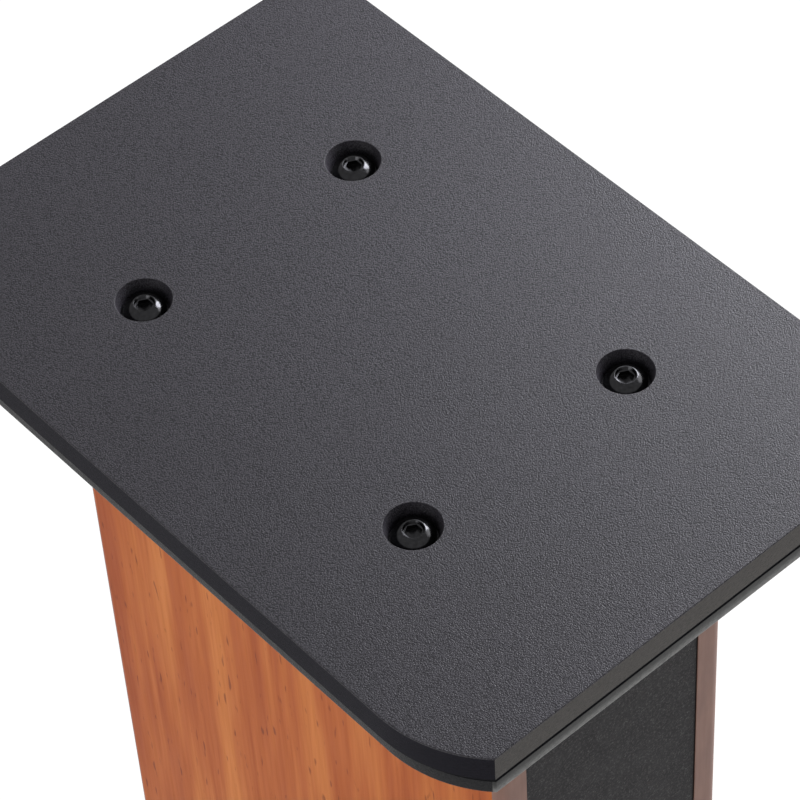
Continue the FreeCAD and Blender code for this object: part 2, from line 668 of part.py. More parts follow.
def make_brace():
    brace = new_body("column_brace", y="column_setback",
                     z="%s + column_height / 2 - brace_thickness / 2" % COLUMN_LOW)
    sketch = sketch_on(brace, "XY_Plane", "brace_section")
    across = "(infill_width / 2)"
    along = "(%s / 2)" % INSIDE_DEPTH
    add_outline(sketch, "edge", [("-" + across, "-" + along), (across, "-" + along), (across, along),
                                 ("-" + across, along)])
    add_circle(sketch, "opening", "0", "0", "brace_hole")
    pad(brace, sketch, "brace_thickness", "brace_board")


def make_dowels():
    """Dowels that lie across the column, half in a side panel and half in a block."""
    dowel = pattern_master("dowel")
    profile = sketch_on(dowel, "XY_Plane", "dowel_profile")
    add_outline(profile, "dowel", [
        ("0", "0"),
        ("dowel_diameter / 2 - dowel_chamfer", "0"),
        ("dowel_diameter / 2", "dowel_chamfer"),
        ("dowel_diameter / 2", "dowel_length - dowel_chamfer"),
        ("dowel_diameter / 2 - dowel_chamfer", "dowel_length"),
        ("0", "dowel_length"),
    ])
    turned(dowel, profile, "dowel_form")
    doc.recompute()
    solids = []
    for side, end in SIGNS:
        for level in (number("block_height / 2"), number("column_height - block_height / 2")):
            solid = dowel.Shape.copy()
            # the dowel is drawn along Y: turned to point inwards from the side panel's hole
            solid.rotate(Vector(0, 0, 0), Vector(0, 0, 1), 90 * side)
            start = side * number("infill_width / 2 + dowel_in_panel")
            solid.translate(Vector(start, end * number("dowel_spacing / 2"), level))
            solids.append(solid)
    group = doc.addObject("Part::Feature", "dowels")
    group.Label = "dowels"
    group.Shape = Part.makeCompound(solids)
    place(group, "0", "column_setback", COLUMN_LOW)
    SUBPARTS.append(group)


def make_column():
    make_side_panel("left_side_panel", -1)
    make_side_panel("right_side_panel", 1)
    make_infill_panel("front_panel", -1)
    rear = make_infill_panel("rear_panel", 1)
    holes = sketch_on(rear, "XZ_Plane", "cable_hole_places", off="-" + INFILL_FACE)
    add_circle(holes, "upper", "0", UPPER_HOLE, "cable_hole")
    add_circle(holes, "lower", "0", "lower_hole_rise", "cable_hole")
    pocket(rear, holes, "infill_thickness", "cable_holes", upward=True)
    make_grommet("upper_cable_grommet", UPPER_HOLE)
    make_grommet("lower_cable_grommet", "lower_hole_rise")
    make_block("top_block", "%s - block_height" % COLUMN_TOP, top_block_holes)
    make_block("bottom_block", COLUMN_LOW, bottom_block_holes)
    make_brace()
    make_dowels()


# ---------------------------------------------------------------- feet

def make_foot(corner, side, end):
    x = "%d * %s" % (side, FOOT_X)
    y = "%d * %s" % (end, FOOT_Y)
    make_felt_pad(corner, x, y)
    make_floor_disc(corner, x, y)
    make_spike(corner, x, y)
    make_lock_nut(corner, x, y)
    make_washer(corner, x, y)


def make_felt_pad(corner, x, y):
    felt = new_body("felt_pad_" + corner, x, y)
    sketch = sketch_on(felt, "XY_Plane", "felt_outline")
    add_circle(sketch, "felt", "0", "0", "pad_diameter")
    pad(felt, sketch, "pad_height", "felt")


def make_floor_disc(corner, x, y):
    disc = new_body("floor_disc_" + corner, x, y, DISC_LOW)
    sketch = sketch_on(disc, "XZ_Plane", "disc_profile")
    add_outline(sketch, "disc", [
        ("0", "0"),
        ("disc_diameter / 2", "0"),
        ("disc_diameter / 2", "disc_height - disc_chamfer"),
        ("disc_diameter / 2 - disc_chamfer", "disc_height"),
        ("dimple_mouth / 2", "disc_height"),
        ("dimple_floor / 2", "disc_height - dimple_depth"),
        ("0", "disc_height - dimple_depth"),
    ])
    turned(disc, sketch, "disc")


def make_spike(corner, x, y):
    """A turned spike: a cone, a grip with flutes for the fingers, and a stud."""
    spike = new_body("spike_" + corner, x, y, TIP)
    grip_low = "cone_height"
    grip_top = "(cone_height + grip_height)"
    stud_top = "(%s - %s)" % (STUD_TOP, TIP)
    sketch = sketch_on(spike, "XZ_Plane", "spike_profile")
    add_outline(sketch, "spike", [
        ("0", "0"),
        ("tip_diameter / 2", "0"),
        ("cone_diameter / 2", grip_low),
        ("grip_diameter / 2 - grip_chamfer", grip_low),
        ("grip_diameter / 2", grip_low + " + grip_chamfer"),
        ("grip_diameter / 2", grip_top + " - grip_chamfer"),
        ("grip_diameter / 2 - grip_chamfer", grip_top),
        ("stud_diameter / 2", grip_top),
        ("stud_diameter / 2", stud_top + " - stud_chamfer"),
        ("stud_diameter / 2 - stud_chamfer", stud_top),
        ("0", stud_top),
    ])
    turned(spike, sketch, "spike_form")
    flute_place = sketch_on(spike, "XY_Plane", "flute_place", off=grip_top)
    add_circle(flute_place, "flute", "grip_diameter / 2 + flute_offset", "0", "flute_diameter")
    flute = pocket(spike, flute_place, "grip_height", "flute")
    doc.recompute()
    flutes = spike.newObject("PartDesign::PolarPattern", "flutes")
    flutes.Originals = [flute]
    flutes.Axis = (flute_place, ["N_Axis"])
    flutes.Angle = 360
    flutes.setExpression("Occurrences", cells("flute_count"))
    spike.Tip = flutes


def make_lock_nut(corner, x, y):
    nut = new_body("lock_nut_" + corner, x, y, NUT_LOW)
    sketch = sketch_on(nut, "XY_Plane", "nut_outline")
    add_outline(sketch, "hexagon", hexagon("nut_flats"))
    add_circle(sketch, "thread", "0", "0", "2 * " + STUD_RADIUS)
    pad(nut, sketch, "nut_height", "nut_prism")
    # the hexagon's corners are turned off at 30 degrees at both ends
    reach = "(nut_flats / 2 / cos(30))"
    drop = "((%s - nut_flats / 2) * tan(30))" % reach
    for name, level, way in (("low_bevel", "0", 1), ("top_bevel", "nut_height", -1)):
        profile = sketch_on(nut, "XZ_Plane", name + "_profile", y=level)
        corners = [
            ("nut_flats / 2", "0"),
            (reach + " + bevel_overrun", "0"),
            (reach + " + bevel_overrun", "%d * (%s + bevel_overrun * tan(30))" % (way, drop)),
        ]
        add_outline(profile, name, corners if way > 0 else corners[::-1])
        turned(nut, profile, name, "Groove")


def make_washer(corner, x, y):
    washer = new_body("washer_" + corner, x, y, WASHER_LOW)
    sketch = sketch_on(washer, "XY_Plane", "washer_outline")
    add_circle(sketch, "rim", "0", "0", "washer_diameter")
    add_circle(sketch, "hole", "0", "0", "stud_diameter + 2 * washer_clearance")
    pad(washer, sketch, "washer_height", "ring")


# ---------------------------------------------------------------- the stand

make_head()
make_head_bolts()
make_screws()
make_column()
make_base()
make_base_bolts()
make_inserts()
for corner, (side, end) in zip(("front_left", "front_right", "rear_left", "rear_right"), SIGNS):
    make_foot(corner, side, end)
doc.recompute()

# every feature has worked, every cut has taken something away, and every sub-part is a sound solid
CUT_LEAST = 1e-6
for item in doc.Objects:
    if "Invalid" in item.State or "Error" in item.State:
        raise RuntimeError("%s failed: %s" % (item.Label, item.State))
    if item.TypeId in ("PartDesign::Pocket", "PartDesign::Groove", "PartDesign::PolarPattern"):
        if not item.Shape.Volume < item.BaseFeature.Shape.Volume - CUT_LEAST:
            raise RuntimeError("%s cuts nothing" % item.Label)
for item in SUBPARTS:
    if item.Shape.isNull() or not item.Shape.isValid():
        raise RuntimeError("%s has no valid shape" % item.Label)

os.makedirs("parts", exist_ok=True)
for item in SUBPARTS:
    item.Shape.exportStep(os.path.join("parts", item.Label + ".step"))
whole = Part.makeCompound([item.Shape for item in SUBPARTS]).optimalBoundingBox()
print("%d sub-parts, %.1f x %.1f x %.1f mm" % (len(SUBPARTS), whole.XLength, whole.YLength, whole.ZLength))
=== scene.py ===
import math

import bmesh
import bpy
from mathutils import Matrix, Vector


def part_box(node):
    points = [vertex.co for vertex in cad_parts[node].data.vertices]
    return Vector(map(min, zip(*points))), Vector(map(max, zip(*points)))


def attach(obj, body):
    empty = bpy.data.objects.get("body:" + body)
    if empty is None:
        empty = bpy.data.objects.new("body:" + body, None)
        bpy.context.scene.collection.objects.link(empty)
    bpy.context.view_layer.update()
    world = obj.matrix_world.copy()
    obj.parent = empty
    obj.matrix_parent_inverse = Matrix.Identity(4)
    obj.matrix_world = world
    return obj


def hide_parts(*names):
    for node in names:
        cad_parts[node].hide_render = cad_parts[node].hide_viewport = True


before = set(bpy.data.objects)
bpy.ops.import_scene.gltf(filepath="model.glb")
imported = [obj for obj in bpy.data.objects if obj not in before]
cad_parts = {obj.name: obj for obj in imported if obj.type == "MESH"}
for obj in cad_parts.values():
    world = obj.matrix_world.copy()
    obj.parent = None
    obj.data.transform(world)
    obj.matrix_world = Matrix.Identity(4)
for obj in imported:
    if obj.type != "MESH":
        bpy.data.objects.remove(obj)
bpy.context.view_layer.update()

# A speaker stand seen from close above its head plate. Lengths are in metres; -Y is the front.
MM = 0.001

# the outline that the head and base plates share, and the rounds along their edges
CORNER_RADIUS = 50 * MM
CORNER_TURN = math.radians(44)
REAR_RADIUS = 5 * MM
BOARD_LOW_ROUND = 1.2 * MM
STEEL_LOW_ROUND = 1.2 * MM
STEEL_TOP_ROUND = 1.0 * MM
FILM_ROUND = 0.25 * MM

# how far the groove's painted shade reaches to each side of the joint between a board and its steel plate,
# and how deep behind a plate's front a face may lie that gets painted light
JOINT_SHADE = 1.0 * MM
LIT_FRONT_DEPTH = 0.5 * MM
HIGHLIGHT_DEPTH = 1.0 * MM

# how far round an edge each finish goes, as the part of a face's normal that points its way
GROOVE_WRAP = 0.99
LIT_FRONT_WRAP = 0.9
HIGHLIGHT_WRAP = 0.2
BAND_WRAP = 0.3
INSIDE_WRAP = 0.9

# pieces in fours stand in this order, and so do their bolts
CORNERS = ["front_left", "front_right", "rear_left", "rear_right"]
HEAD_BOLT_PLACES = [(x * MM, y * MM) for y in (-65, 65) for x in (-45, 45)]
BASE_BOLT_PLACES = [(x * MM, y * MM) for y in (-65, 65) for x in (-23, 23)]

# a head bolt's head, and the diameters of its recess
HEAD_BOLT_HEIGHT = 4.4 * MM
RECESS_RIM = 18.7 * MM
RECESS_FLOOR = 15.3 * MM

# threads, and the radii of the holes that they pass in steel and in board
THREAD_RADIUS = 4.0 * MM
PITCH = 1.25 * MM
THREAD_DEPTH = 0.62 * MM
THREAD_OVERLAP = 0.05 * MM
STEEL_HOLE = 4.05 * MM
BOARD_HOLE = 4.5 * MM
HEX_SOCKET = 5 * MM

# column
SIDE_EDGE_RADIUS = 5 * MM
CABLE_HOLE = 36 * MM
GROMMET_FLANGE = 2.5 * MM
ARRIS = 0.25 * MM

# feet
FLUTES = 12
FLUTE_WIDTH = 3 * MM
FLUTE_REACH = 9.25 * MM
NUT_FLATS = 13 * MM
NUT_CHAMFER = math.radians(30)
NUT_MOUTH = 5.4 * MM

# how far a cutting tool goes past what it cuts, and how far a drill lies to each side of the rear panel
SPARE = 1 * MM
DRILL_REACH = 30 * MM

# what counts as the same height or place, as one point of a drawn line, and as a sliver left by a cut
CLOSE = 0.01 * MM
ONE_POINT = 0.001 * MM
SLIVER = 0.004 * MM

# steps round a turned piece: the ones that show most, most others, and holes
FINE_STEPS = 96
STEPS = 72
HOLE_STEPS = 48
THREAD_STEPS = 36

# the floor: how brightly it is seen, the part of that near the stand, and where the rest sets in
FLOOR_SIZE = 60
FLOOR_WHITE = 1.07
FLOOR_GLOW = 0.8
GLOW_FROM = 0.5
GLOW_TO = 1.3

# how bright the room is round the lamps, and the tint of the lamps that give the sheen
ROOM_LIGHT = 0.12
COOL = (0.98, 0.99, 1.05)


# ------------------------------------------------------------------ working by hand

def begin():
    """Back to object mode with nothing selected."""
    if bpy.context.mode != "OBJECT":
        bpy.ops.object.mode_set(mode="OBJECT")
    bpy.ops.object.select_all(action="DESELECT")


def only(piece):
    """Back to object mode with this piece alone selected."""
    begin()
    piece.select_set(True)
    bpy.context.view_layer.objects.active = piece


def keep_as(name):
    """Name the active piece, and put its place and turn into its mesh."""
    piece = bpy.context.active_object
    piece.name = name
    piece.data.name = name
    bpy.ops.object.transform_apply(location=True, rotation=True, scale=True)
    return piece


def block(name, low, high):
    """A block between two corners."""
    begin()
    bpy.ops.mesh.primitive_cube_add(size=1, location=(Vector(low) + Vector(high)) / 2,
                                    scale=Vector(high) - Vector(low))
    return keep_as(name)


def pick_edges(piece, wanted):
    """In edit mode, select the edges that pass the test."""
    only(piece)
    bpy.ops.object.mode_set(mode="EDIT")
    bpy.ops.mesh.select_mode(type="EDGE")
    bpy.ops.mesh.select_all(action="DESELECT")
    mesh = bmesh.from_edit_mesh(piece.data)
    for edge in mesh.edges:
        edge.select_set(wanted(edge.verts[0].co, edge.verts[1].co))
    bmesh.update_edit_mesh(piece.data)


def bevel_edges(piece, wanted, width, segments):
    """Round the edges that pass the test."""
    pick_edges(piece, wanted)
    bpy.ops.mesh.bevel(offset=width, segments=segments, profile=0.5, affect="EDGES")
    bpy.ops.object.mode_set(mode="OBJECT")


def close_to(a, b):
    return abs(a - b) < CLOSE


def level_at(height):
    """Picks the edges that lie at that height."""
    return lambda a, b: close_to(a.z, height) and close_to(b.z, height)


def upright(test):
    """Picks the upright edges whose place passes the test."""
    return lambda a, b: close_to(a.x, b.x) and close_to(a.y, b.y) and test(a.x, a.y)


def saw_off(piece, point, away):
    """Cut the piece through that point, and drop what lies away from it."""
    only(piece)
    bpy.ops.object.mode_set(mode="EDIT")
    bpy.ops.mesh.select_all(action="SELECT")
    bpy.ops.mesh.bisect(plane_co=point, plane_no=away, use_fill=True, clear_outer=True)
    bpy.ops.object.mode_set(mode="OBJECT")


def arc(centre_r, centre_z, radius, start, end, steps):
    """Points (r, z) along an arc, from one angle in degrees to another."""
    turns = [math.radians(start + (end - start) * i / steps) for i in range(steps + 1)]
    return [(centre_r + radius * math.cos(t), centre_z + radius * math.sin(t)) for t in turns]


def in_mm(points):
    """Points (r, z) written in millimetres."""
    return [(r * MM, z * MM) for r, z in points]


def one_point(name, place):
    """A new piece of a single point, left in edit mode and ready to be drawn on."""
    begin()
    bpy.ops.mesh.primitive_plane_add(size=MM, location=(0, 0, 0))
    piece = keep_as(name)
    bpy.ops.object.mode_set(mode="EDIT")
    bpy.ops.mesh.select_mode(type="VERT")
    bpy.ops.mesh.select_all(action="SELECT")
    bpy.ops.mesh.merge(type="CENTER")
    bpy.ops.transform.translate(value=place)
    return piece


def draw(steps):
    """Extrude the selected point into a line, one step after another."""
    for step in steps:
        bpy.ops.mesh.extrude_vertices_move(TRANSFORM_OT_translate={"value": step})


def turned(name, profile, foot=(0, 0, 0), steps=STEPS):
    """Spin a profile of points (radius, height) once round an upright axis that stands on foot."""
    piece = one_point(name, (profile[0][0], 0, profile[0][1]))
    draw([(r1 - r0, 0, z1 - z0) for (r0, z0), (r1, z1) in zip(profile, profile[1:])])
    bpy.ops.mesh.select_all(action="SELECT")
    bpy.ops.mesh.spin(steps=steps, angle=math.radians(360), center=(0, 0, 0), axis=(0, 0, 1))
    bpy.ops.mesh.select_all(action="SELECT")
    bpy.ops.mesh.remove_doubles(threshold=ONE_POINT)
    bpy.ops.mesh.normals_make_consistent(inside=False)
    bpy.ops.mesh.select_all(action="SELECT")
    bpy.ops.transform.translate(value=foot)
    bpy.ops.object.mode_set(mode="OBJECT")
    return piece


def drill(radius, low, high, at=(0, 0), steps=HOLE_STEPS):
    """A round bar between two heights, to be cut out of a piece."""
    return turned("drill", [(0, low), (radius, low), (radius, high), (0, high)], (*at, 0), steps)


def prism(name, sides, flats, low, high, at):
    """An upright prism with that size across flats."""
    begin()
    bpy.ops.mesh.primitive_cylinder_add(vertices=sides, radius=flats / 2 / math.cos(math.pi / sides),
                                        depth=high - low, location=(at[0], at[1], (low + high) / 2))
    return keep_as(name)


def combine(piece, tool, way="DIFFERENCE"):
    """Cut the tool out of the piece, or keep what they share. The tool is used up."""
    only(piece)
    modifier = piece.modifiers.new("combine", "BOOLEAN")
    modifier.operation = way
    modifier.solver = "EXACT"
    modifier.object = tool
    bpy.ops.object.modifier_apply(modifier=modifier.name)
    bpy.data.objects.remove(tool)


def join(pieces, name):
    """Make one piece of several."""
    only(pieces[0])
    for piece in pieces:
        piece.select_set(True)
    bpy.ops.object.join()
    return keep_as(name)


def copy_of(piece, name, shift):
    """A copy with its own mesh, shifted in place."""
    only(piece)
    bpy.ops.object.duplicate()
    bpy.ops.transform.translate(value=shift)
    return keep_as(name)


def soften(piece, width, angle=35):
    """Break the sharp edges."""
    only(piece)
    modifier = piece.modifiers.new("soften", "BEVEL")
    modifier.width = width
    modifier.segments = 2
    modifier.limit_method = "ANGLE"
    modifier.angle_limit = math.radians(angle)
    modifier.use_clamp_overlap = True
    bpy.ops.object.modifier_apply(modifier=modifier.name)


def smooth(piece, angle=40):
    """Smooth the rounded faces and keep the flat ones flat, with no doubled points left by the cuts."""
    only(piece)
    bpy.ops.object.mode_set(mode="EDIT")
    bpy.ops.mesh.select_all(action="SELECT")
    bpy.ops.mesh.remove_doubles(threshold=SLIVER)
    bpy.ops.mesh.select_all(action="SELECT")
    bpy.ops.mesh.dissolve_degenerate(threshold=SLIVER)
    bpy.ops.mesh.select_all(action="SELECT")
    bpy.ops.mesh.fill_holes(sides=4)
    bpy.ops.object.mode_set(mode="OBJECT")
    bpy.ops.object.shade_smooth_by_angle(angle=math.radians(angle))
    modifier = piece.modifiers.new("even", "WEIGHTED_NORMAL")
    modifier.keep_sharp = True
    bpy.ops.object.modifier_apply(modifier=modifier.name)


def copies_of(first, stem, places):
    """The piece stands at the first place, and a copy of it at each of the others."""
    x, y = places[0]
    pieces = [first]
    for corner, (far_x, far_y) in zip(CORNERS[1:], places[1:]):
        pieces.append(copy_of(first, stem + corner, (far_x - x, far_y - y, 0)))
    return pieces


def thread(low, high, foot):
    """The ridge of a right-hand thread that climbs from low to high round an upright axis."""
    root = THREAD_RADIUS - THREAD_DEPTH - THREAD_OVERLAP
    half_foot = PITCH * 0.46
    half_crest = PITCH * 0.06
    ridge = one_point("ridge", (root, 0, low))
    draw([(THREAD_RADIUS - root, 0, half_foot - half_crest), (0, 0, 2 * half_crest),
          (root - THREAD_RADIUS, 0, half_foot - half_crest), (0, 0, -2 * half_foot)])
    bpy.ops.mesh.select_all(action="SELECT")
    bpy.ops.mesh.remove_doubles(threshold=ONE_POINT)
    bpy.ops.object.mode_set(mode="OBJECT")
    modifier = ridge.modifiers.new("climb", "SCREW")
    modifier.axis = "Z"
    modifier.screw_offset = PITCH
    modifier.iterations = max(1, int((high - low) / PITCH))
    modifier.steps = THREAD_STEPS
    modifier.render_steps = THREAD_STEPS
    bpy.ops.object.modifier_apply(modifier=modifier.name)
    bpy.ops.object.mode_set(mode="EDIT")
    bpy.ops.mesh.select_all(action="SELECT")
    bpy.ops.mesh.fill_holes(sides=0)
    bpy.ops.mesh.select_all(action="SELECT")
    bpy.ops.mesh.normals_make_consistent(inside=False)
    bpy.ops.transform.translate(value=foot)
    bpy.ops.object.mode_set(mode="OBJECT")
    return ridge


# ------------------------------------------------------------------ finishes

class Finish:
    """A material and short ways to lay nodes into it."""

    def __init__(self, name, colour, roughness, metallic=0.0, level=0.5):
        self.material = bpy.data.materials.new(name)
        self.material.use_nodes = True
        self.material.diffuse_color = (*colour, 1)
        self.nodes = self.material.node_tree.nodes
        self.links = self.material.node_tree.links
        self.shader = self.nodes["Principled BSDF"]
        self.shader.inputs["Base Color"].default_value = (*colour, 1)
        self.shader.inputs["Roughness"].default_value = roughness
        self.shader.inputs["Metallic"].default_value = metallic
        self.shader.inputs["Specular IOR Level"].default_value = level

    def lay(self, kind, **sockets):
        """A new node with these inputs."""
        node = self.nodes.new(kind)
        for name, value in sockets.items():
            self.feed(node.inputs[name.replace("_", " ")], value)
        return node

    def feed(self, socket, value):
        if isinstance(value, bpy.types.NodeSocket):
            self.links.new(value, socket)
        else:
            socket.default_value = value

    def place(self, stretch=(1, 1, 1), turn=(0, 0, 0)):
        """Object coordinates, stretched and turned."""
        coordinates = self.nodes.new("ShaderNodeTexCoord")
        mapping = self.lay("ShaderNodeMapping", Vector=coordinates.outputs["Object"], Scale=stretch,
                           Rotation=turn)
        return mapping.outputs["Vector"]

    def noise(self, where, size, detail=2.0, roughness=0.5, distortion=0.0):
        """Cloudy noise whose patches are about size across."""
        node = self.lay("ShaderNodeTexNoise", Vector=where, Scale=1 / size, Detail=detail,
                        Roughness=roughness, Distortion=distortion)
        return node.outputs["Fac"]

    def pebbles(self, where, size):
        """Distance to the middle of the nearest of many cells about size across."""
        node = self.nodes.new("ShaderNodeTexVoronoi")
        node.feature = "SMOOTH_F1"
        self.feed(node.inputs["Vector"], where)
        node.inputs["Scale"].default_value = 1 / size
        return node.outputs["Distance"]

    def ramp(self, value, *stops):
        """Colours (or levels) along the value from 0 to 1."""
        node = self.lay("ShaderNodeValToRGB", Fac=value)
        elements = node.color_ramp.elements
        while len(elements) < len(stops):
            elements.new(0.5)
        for element, (position, colour) in zip(elements, stops):
            element.position = position
            element.color = (*colour, 1) if isinstance(colour, tuple) else (colour, colour, colour, 1)
        return node.outputs["Color"]

    def mix(self, first, second, share, way="MIX"):
        """Two colours, with that share of the second."""
        node = self.nodes.new("ShaderNodeMix")
        node.data_type = "RGBA"
        node.blend_type = way
        self.feed(node.inputs[0], share)
        for socket, value in ((node.inputs[6], first), (node.inputs[7], second)):
            if isinstance(value, tuple):
                value = (*value, 1)
            self.feed(socket, value)
        return node.outputs[2]

    def sum(self, first, second, way="ADD"):
        node = self.nodes.new("ShaderNodeMath")
        node.operation = way
        self.feed(node.inputs[0], first)
        self.feed(node.inputs[1], second)
        return node.outputs[0]

    def bump(self, height, depth):
        node = self.lay("ShaderNodeBump", Height=height, Distance=depth)
        return node.outputs["Normal"]

    def use(self, **sockets):
        """The finished material, with these inputs of its shader."""
        for name, value in sockets.items():
            self.feed(self.shader.inputs[name.replace("_", " ")], value)
        return self.material


def pebbled_film():
    """Black film with a fine leathery grain, on the plates' upper faces and in the recesses."""
    f = Finish("pebbled_film", (0.028, 0.027, 0.031), 0.46, level=0.19)
    where = f.place()
    grain = f.pebbles(where, 0.42 * MM)
    fine = f.noise(where, 0.26 * MM, detail=1)
    height = f.sum(grain, f.sum(fine, 0.35, "MULTIPLY"), "SUBTRACT")
    # the colour follows the pebbles, lighter on their tops and darker in the hollows between them: painted
    # highlight and shade
    colour = f.ramp(grain, (0.05, (0.048, 0.045, 0.054)), (0.6, (0.010, 0.009, 0.012)))
    patches = f.ramp(f.noise(where, 60 * MM, detail=2), (0.3, 0.92), (0.7, 1.0))
    gloss = f.ramp(f.noise(where, 1.1 * MM, detail=2), (0.3, 0.40), (0.7, 0.52))
    return f.use(Base_Color=f.mix(colour, patches, 1.0, "MULTIPLY"), Roughness=gloss,
                 Normal=f.bump(height, -0.14 * MM))


def painted_board(name, low, high, gloss):
    """A board's black edge: paint over pressed fibres, which show as short level strokes."""
    f = Finish(name, high, 0.5, level=gloss)
    strokes = f.noise(f.place(stretch=(1, 1, 3)), 1.6 * MM, detail=5, roughness=0.75)
    grit = f.noise(f.place(), 0.35 * MM, detail=2)
    both = f.mix(strokes, grit, 0.45)
    colour = f.ramp(both, (0.32, low), (0.68, high))
    height = f.sum(strokes, f.sum(grit, 0.5, "MULTIPLY"))
    return f.use(Base_Color=colour, Roughness=f.ramp(grit, (0.3, 0.42), (0.7, 0.6)),
                 Normal=f.bump(height, 0.08 * MM))


def painted_shade(name, low, high):
    """Dull painted shade: the groove where a board meets its steel plate, and inside the side panels."""
    f = Finish(name, low, 0.8, level=0.05)
    dust = f.noise(f.place(), 1.5 * MM, detail=3)
    return f.use(Base_Color=f.ramp(dust, (0.3, low), (0.7, high)),
                 Normal=f.bump(dust, 0.03 * MM))


def powder_coat():
    """Fine textured black coat on the steel plates."""
    f = Finish("powder_coat", (0.011, 0.011, 0.013), 0.28, level=0.06)
    where = f.place()
    grit = f.pebbles(where, 0.4 * MM)
    waves = f.noise(where, 2 * MM, detail=3)
    colour = f.ramp(grit, (0.1, (0.020, 0.020, 0.021)), (0.6, (0.008, 0.008, 0.009)))
    return f.use(Base_Color=colour, Roughness=f.ramp(waves, (0.3, 0.22), (0.7, 0.34)),
                 Normal=f.bump(f.sum(grit, waves), -0.05 * MM))


def black_oxide():
    """Blackened steel of the bolts, with a soft and slightly cloudy gloss."""
    f = Finish("black_oxide", (0.022, 0.022, 0.023), 0.16, metallic=1.0)
    where = f.place()
    cloud = f.noise(where, 1.2 * MM, detail=4, roughness=0.65)
    colour = f.ramp(cloud, (0.3, (0.017, 0.017, 0.018)), (0.7, (0.030, 0.030, 0.032)))
    return f.use(Base_Color=colour, Roughness=f.ramp(cloud, (0.25, 0.12), (0.75, 0.22)),
                 Normal=f.bump(cloud, 0.008 * MM))


def steel_front_highlight(node):
    """A steel plate's front edge: painted highlight at the bottom, fading to the coat's black at the top."""
    low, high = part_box(node)
    f = Finish("front_highlight_" + node, (0.08, 0.08, 0.08), 0.35, level=0.12)
    split = f.lay("ShaderNodeSeparateXYZ", Vector=f.place())
    climb = f.lay("ShaderNodeMapRange", Value=split.outputs["Z"], From_Min=low.z, From_Max=high.z)
    cloud = f.noise(f.place(stretch=(0.5, 1, 1)), 0.8 * MM, detail=4, roughness=0.7)
    grey = f.ramp(climb.outputs["Result"], (0.0, (0.23, 0.23, 0.225)), (0.28, (0.15, 0.15, 0.147)),
                  (0.6, (0.045, 0.045, 0.044)), (1.0, (0.012, 0.012, 0.012)))
    grey = f.mix(grey, f.ramp(cloud, (0.35, 0.6), (0.65, 1.15)), 1.0, "MULTIPLY")
    return f.use(Base_Color=grey, Normal=f.bump(cloud, 0.04 * MM))


def wood_laminate():
    """Orange-brown wood, grain upright: broad soft bands, streaks, fibres and small dark flecks."""
    f = Finish("wood_laminate", (0.44, 0.118, 0.030), 0.42, level=0.06)
    lean = (math.radians(3), 0, 0)
    clouds = f.noise(f.place(stretch=(1, 1, 0.16), turn=lean), 24 * MM, detail=2, distortion=0.3)
    bands = f.noise(f.place(stretch=(1, 1, 0.045), turn=lean), 8 * MM, detail=3, roughness=0.5,
                    distortion=0.25)
    streaks = f.noise(f.place(stretch=(1, 1, 0.05)), 2.2 * MM, detail=3, roughness=0.6)
    fibres = f.noise(f.place(stretch=(1, 1, 0.04)), 0.6 * MM, detail=2, roughness=0.6)
    flecks = f.noise(f.place(stretch=(1, 1, 0.2)), 2.0 * MM, detail=1)
    tone = f.sum(f.sum(clouds, 0.45, "MULTIPLY"), f.sum(bands, 0.55, "MULTIPLY"))
    base = f.ramp(tone, (0.38, (0.345, 0.069, 0.010)), (0.5, (0.430, 0.104, 0.017)),
                  (0.63, (0.555, 0.175, 0.037)))
    streaked = f.ramp(streaks, (0.32, (0.80, 0.72, 0.66)), (0.6, (1.04, 1.04, 1.04)))
    fibred = f.ramp(fibres, (0.3, (0.86, 0.82, 0.78)), (0.65, (1.0, 1.0, 1.0)))
    flecked = f.ramp(flecks, (0.675, (1.0, 1.0, 1.0)), (0.76, (0.48, 0.36, 0.27)))
    for layer, share in ((streaked, 0.45), (fibred, 0.28), (flecked, 0.9)):
        base = f.mix(base, layer, share, "MULTIPLY")
    gloss = f.ramp(streaks, (0.3, 0.46), (0.7, 0.38))
    return f.use(Base_Color=base, Roughness=gloss, Normal=f.bump(f.sum(fibres, streaks), 0.02 * MM))


def band_shade_and_sheen():
    """Band on the side panels' upright edges, hardly grained, pinkish brown from painted shade and sheen."""
    f = Finish("band_shade_and_sheen", (0.215, 0.118, 0.092), 0.45, level=0.2)
    clouds = f.noise(f.place(stretch=(1, 1, 0.4)), 9 * MM, detail=3)
    fibres = f.noise(f.place(stretch=(1, 1, 0.05)), 0.8 * MM, detail=3)
    base = f.ramp(clouds, (0.3, (0.180, 0.094, 0.072)), (0.7, (0.245, 0.140, 0.110)))
    fibred = f.ramp(fibres, (0.3, (0.88, 0.85, 0.83)), (0.65, (1.0, 1.0, 1.0)))
    base = f.mix(base, fibred, 0.6, "MULTIPLY")
    return f.use(Base_Color=base, Roughness=f.ramp(clouds, (0.3, 0.42), (0.7, 0.52)),
                 Normal=f.bump(fibres, 0.02 * MM))


def speckled_panel():
    """The black panels between the side panels: matt, with faint lighter specks."""
    f = Finish("speckled_panel", (0.020, 0.019, 0.020), 0.6, level=0.12)
    where = f.place()
    specks = f.noise(where, 0.7 * MM, detail=3, roughness=0.7)
    patches = f.noise(where, 9 * MM, detail=3)
    colour = f.ramp(specks, (0.38, (0.008, 0.007, 0.008)), (0.56, (0.018, 0.017, 0.018)),
                    (0.72, (0.085, 0.082, 0.082)))
    colour = f.mix(colour, f.ramp(patches, (0.3, 0.8), (0.7, 1.15)), 0.6, "MULTIPLY")
    return f.use(Base_Color=colour, Roughness=f.ramp(patches, (0.3, 0.55), (0.7, 0.66)),
                 Normal=f.bump(specks, 0.06 * MM))


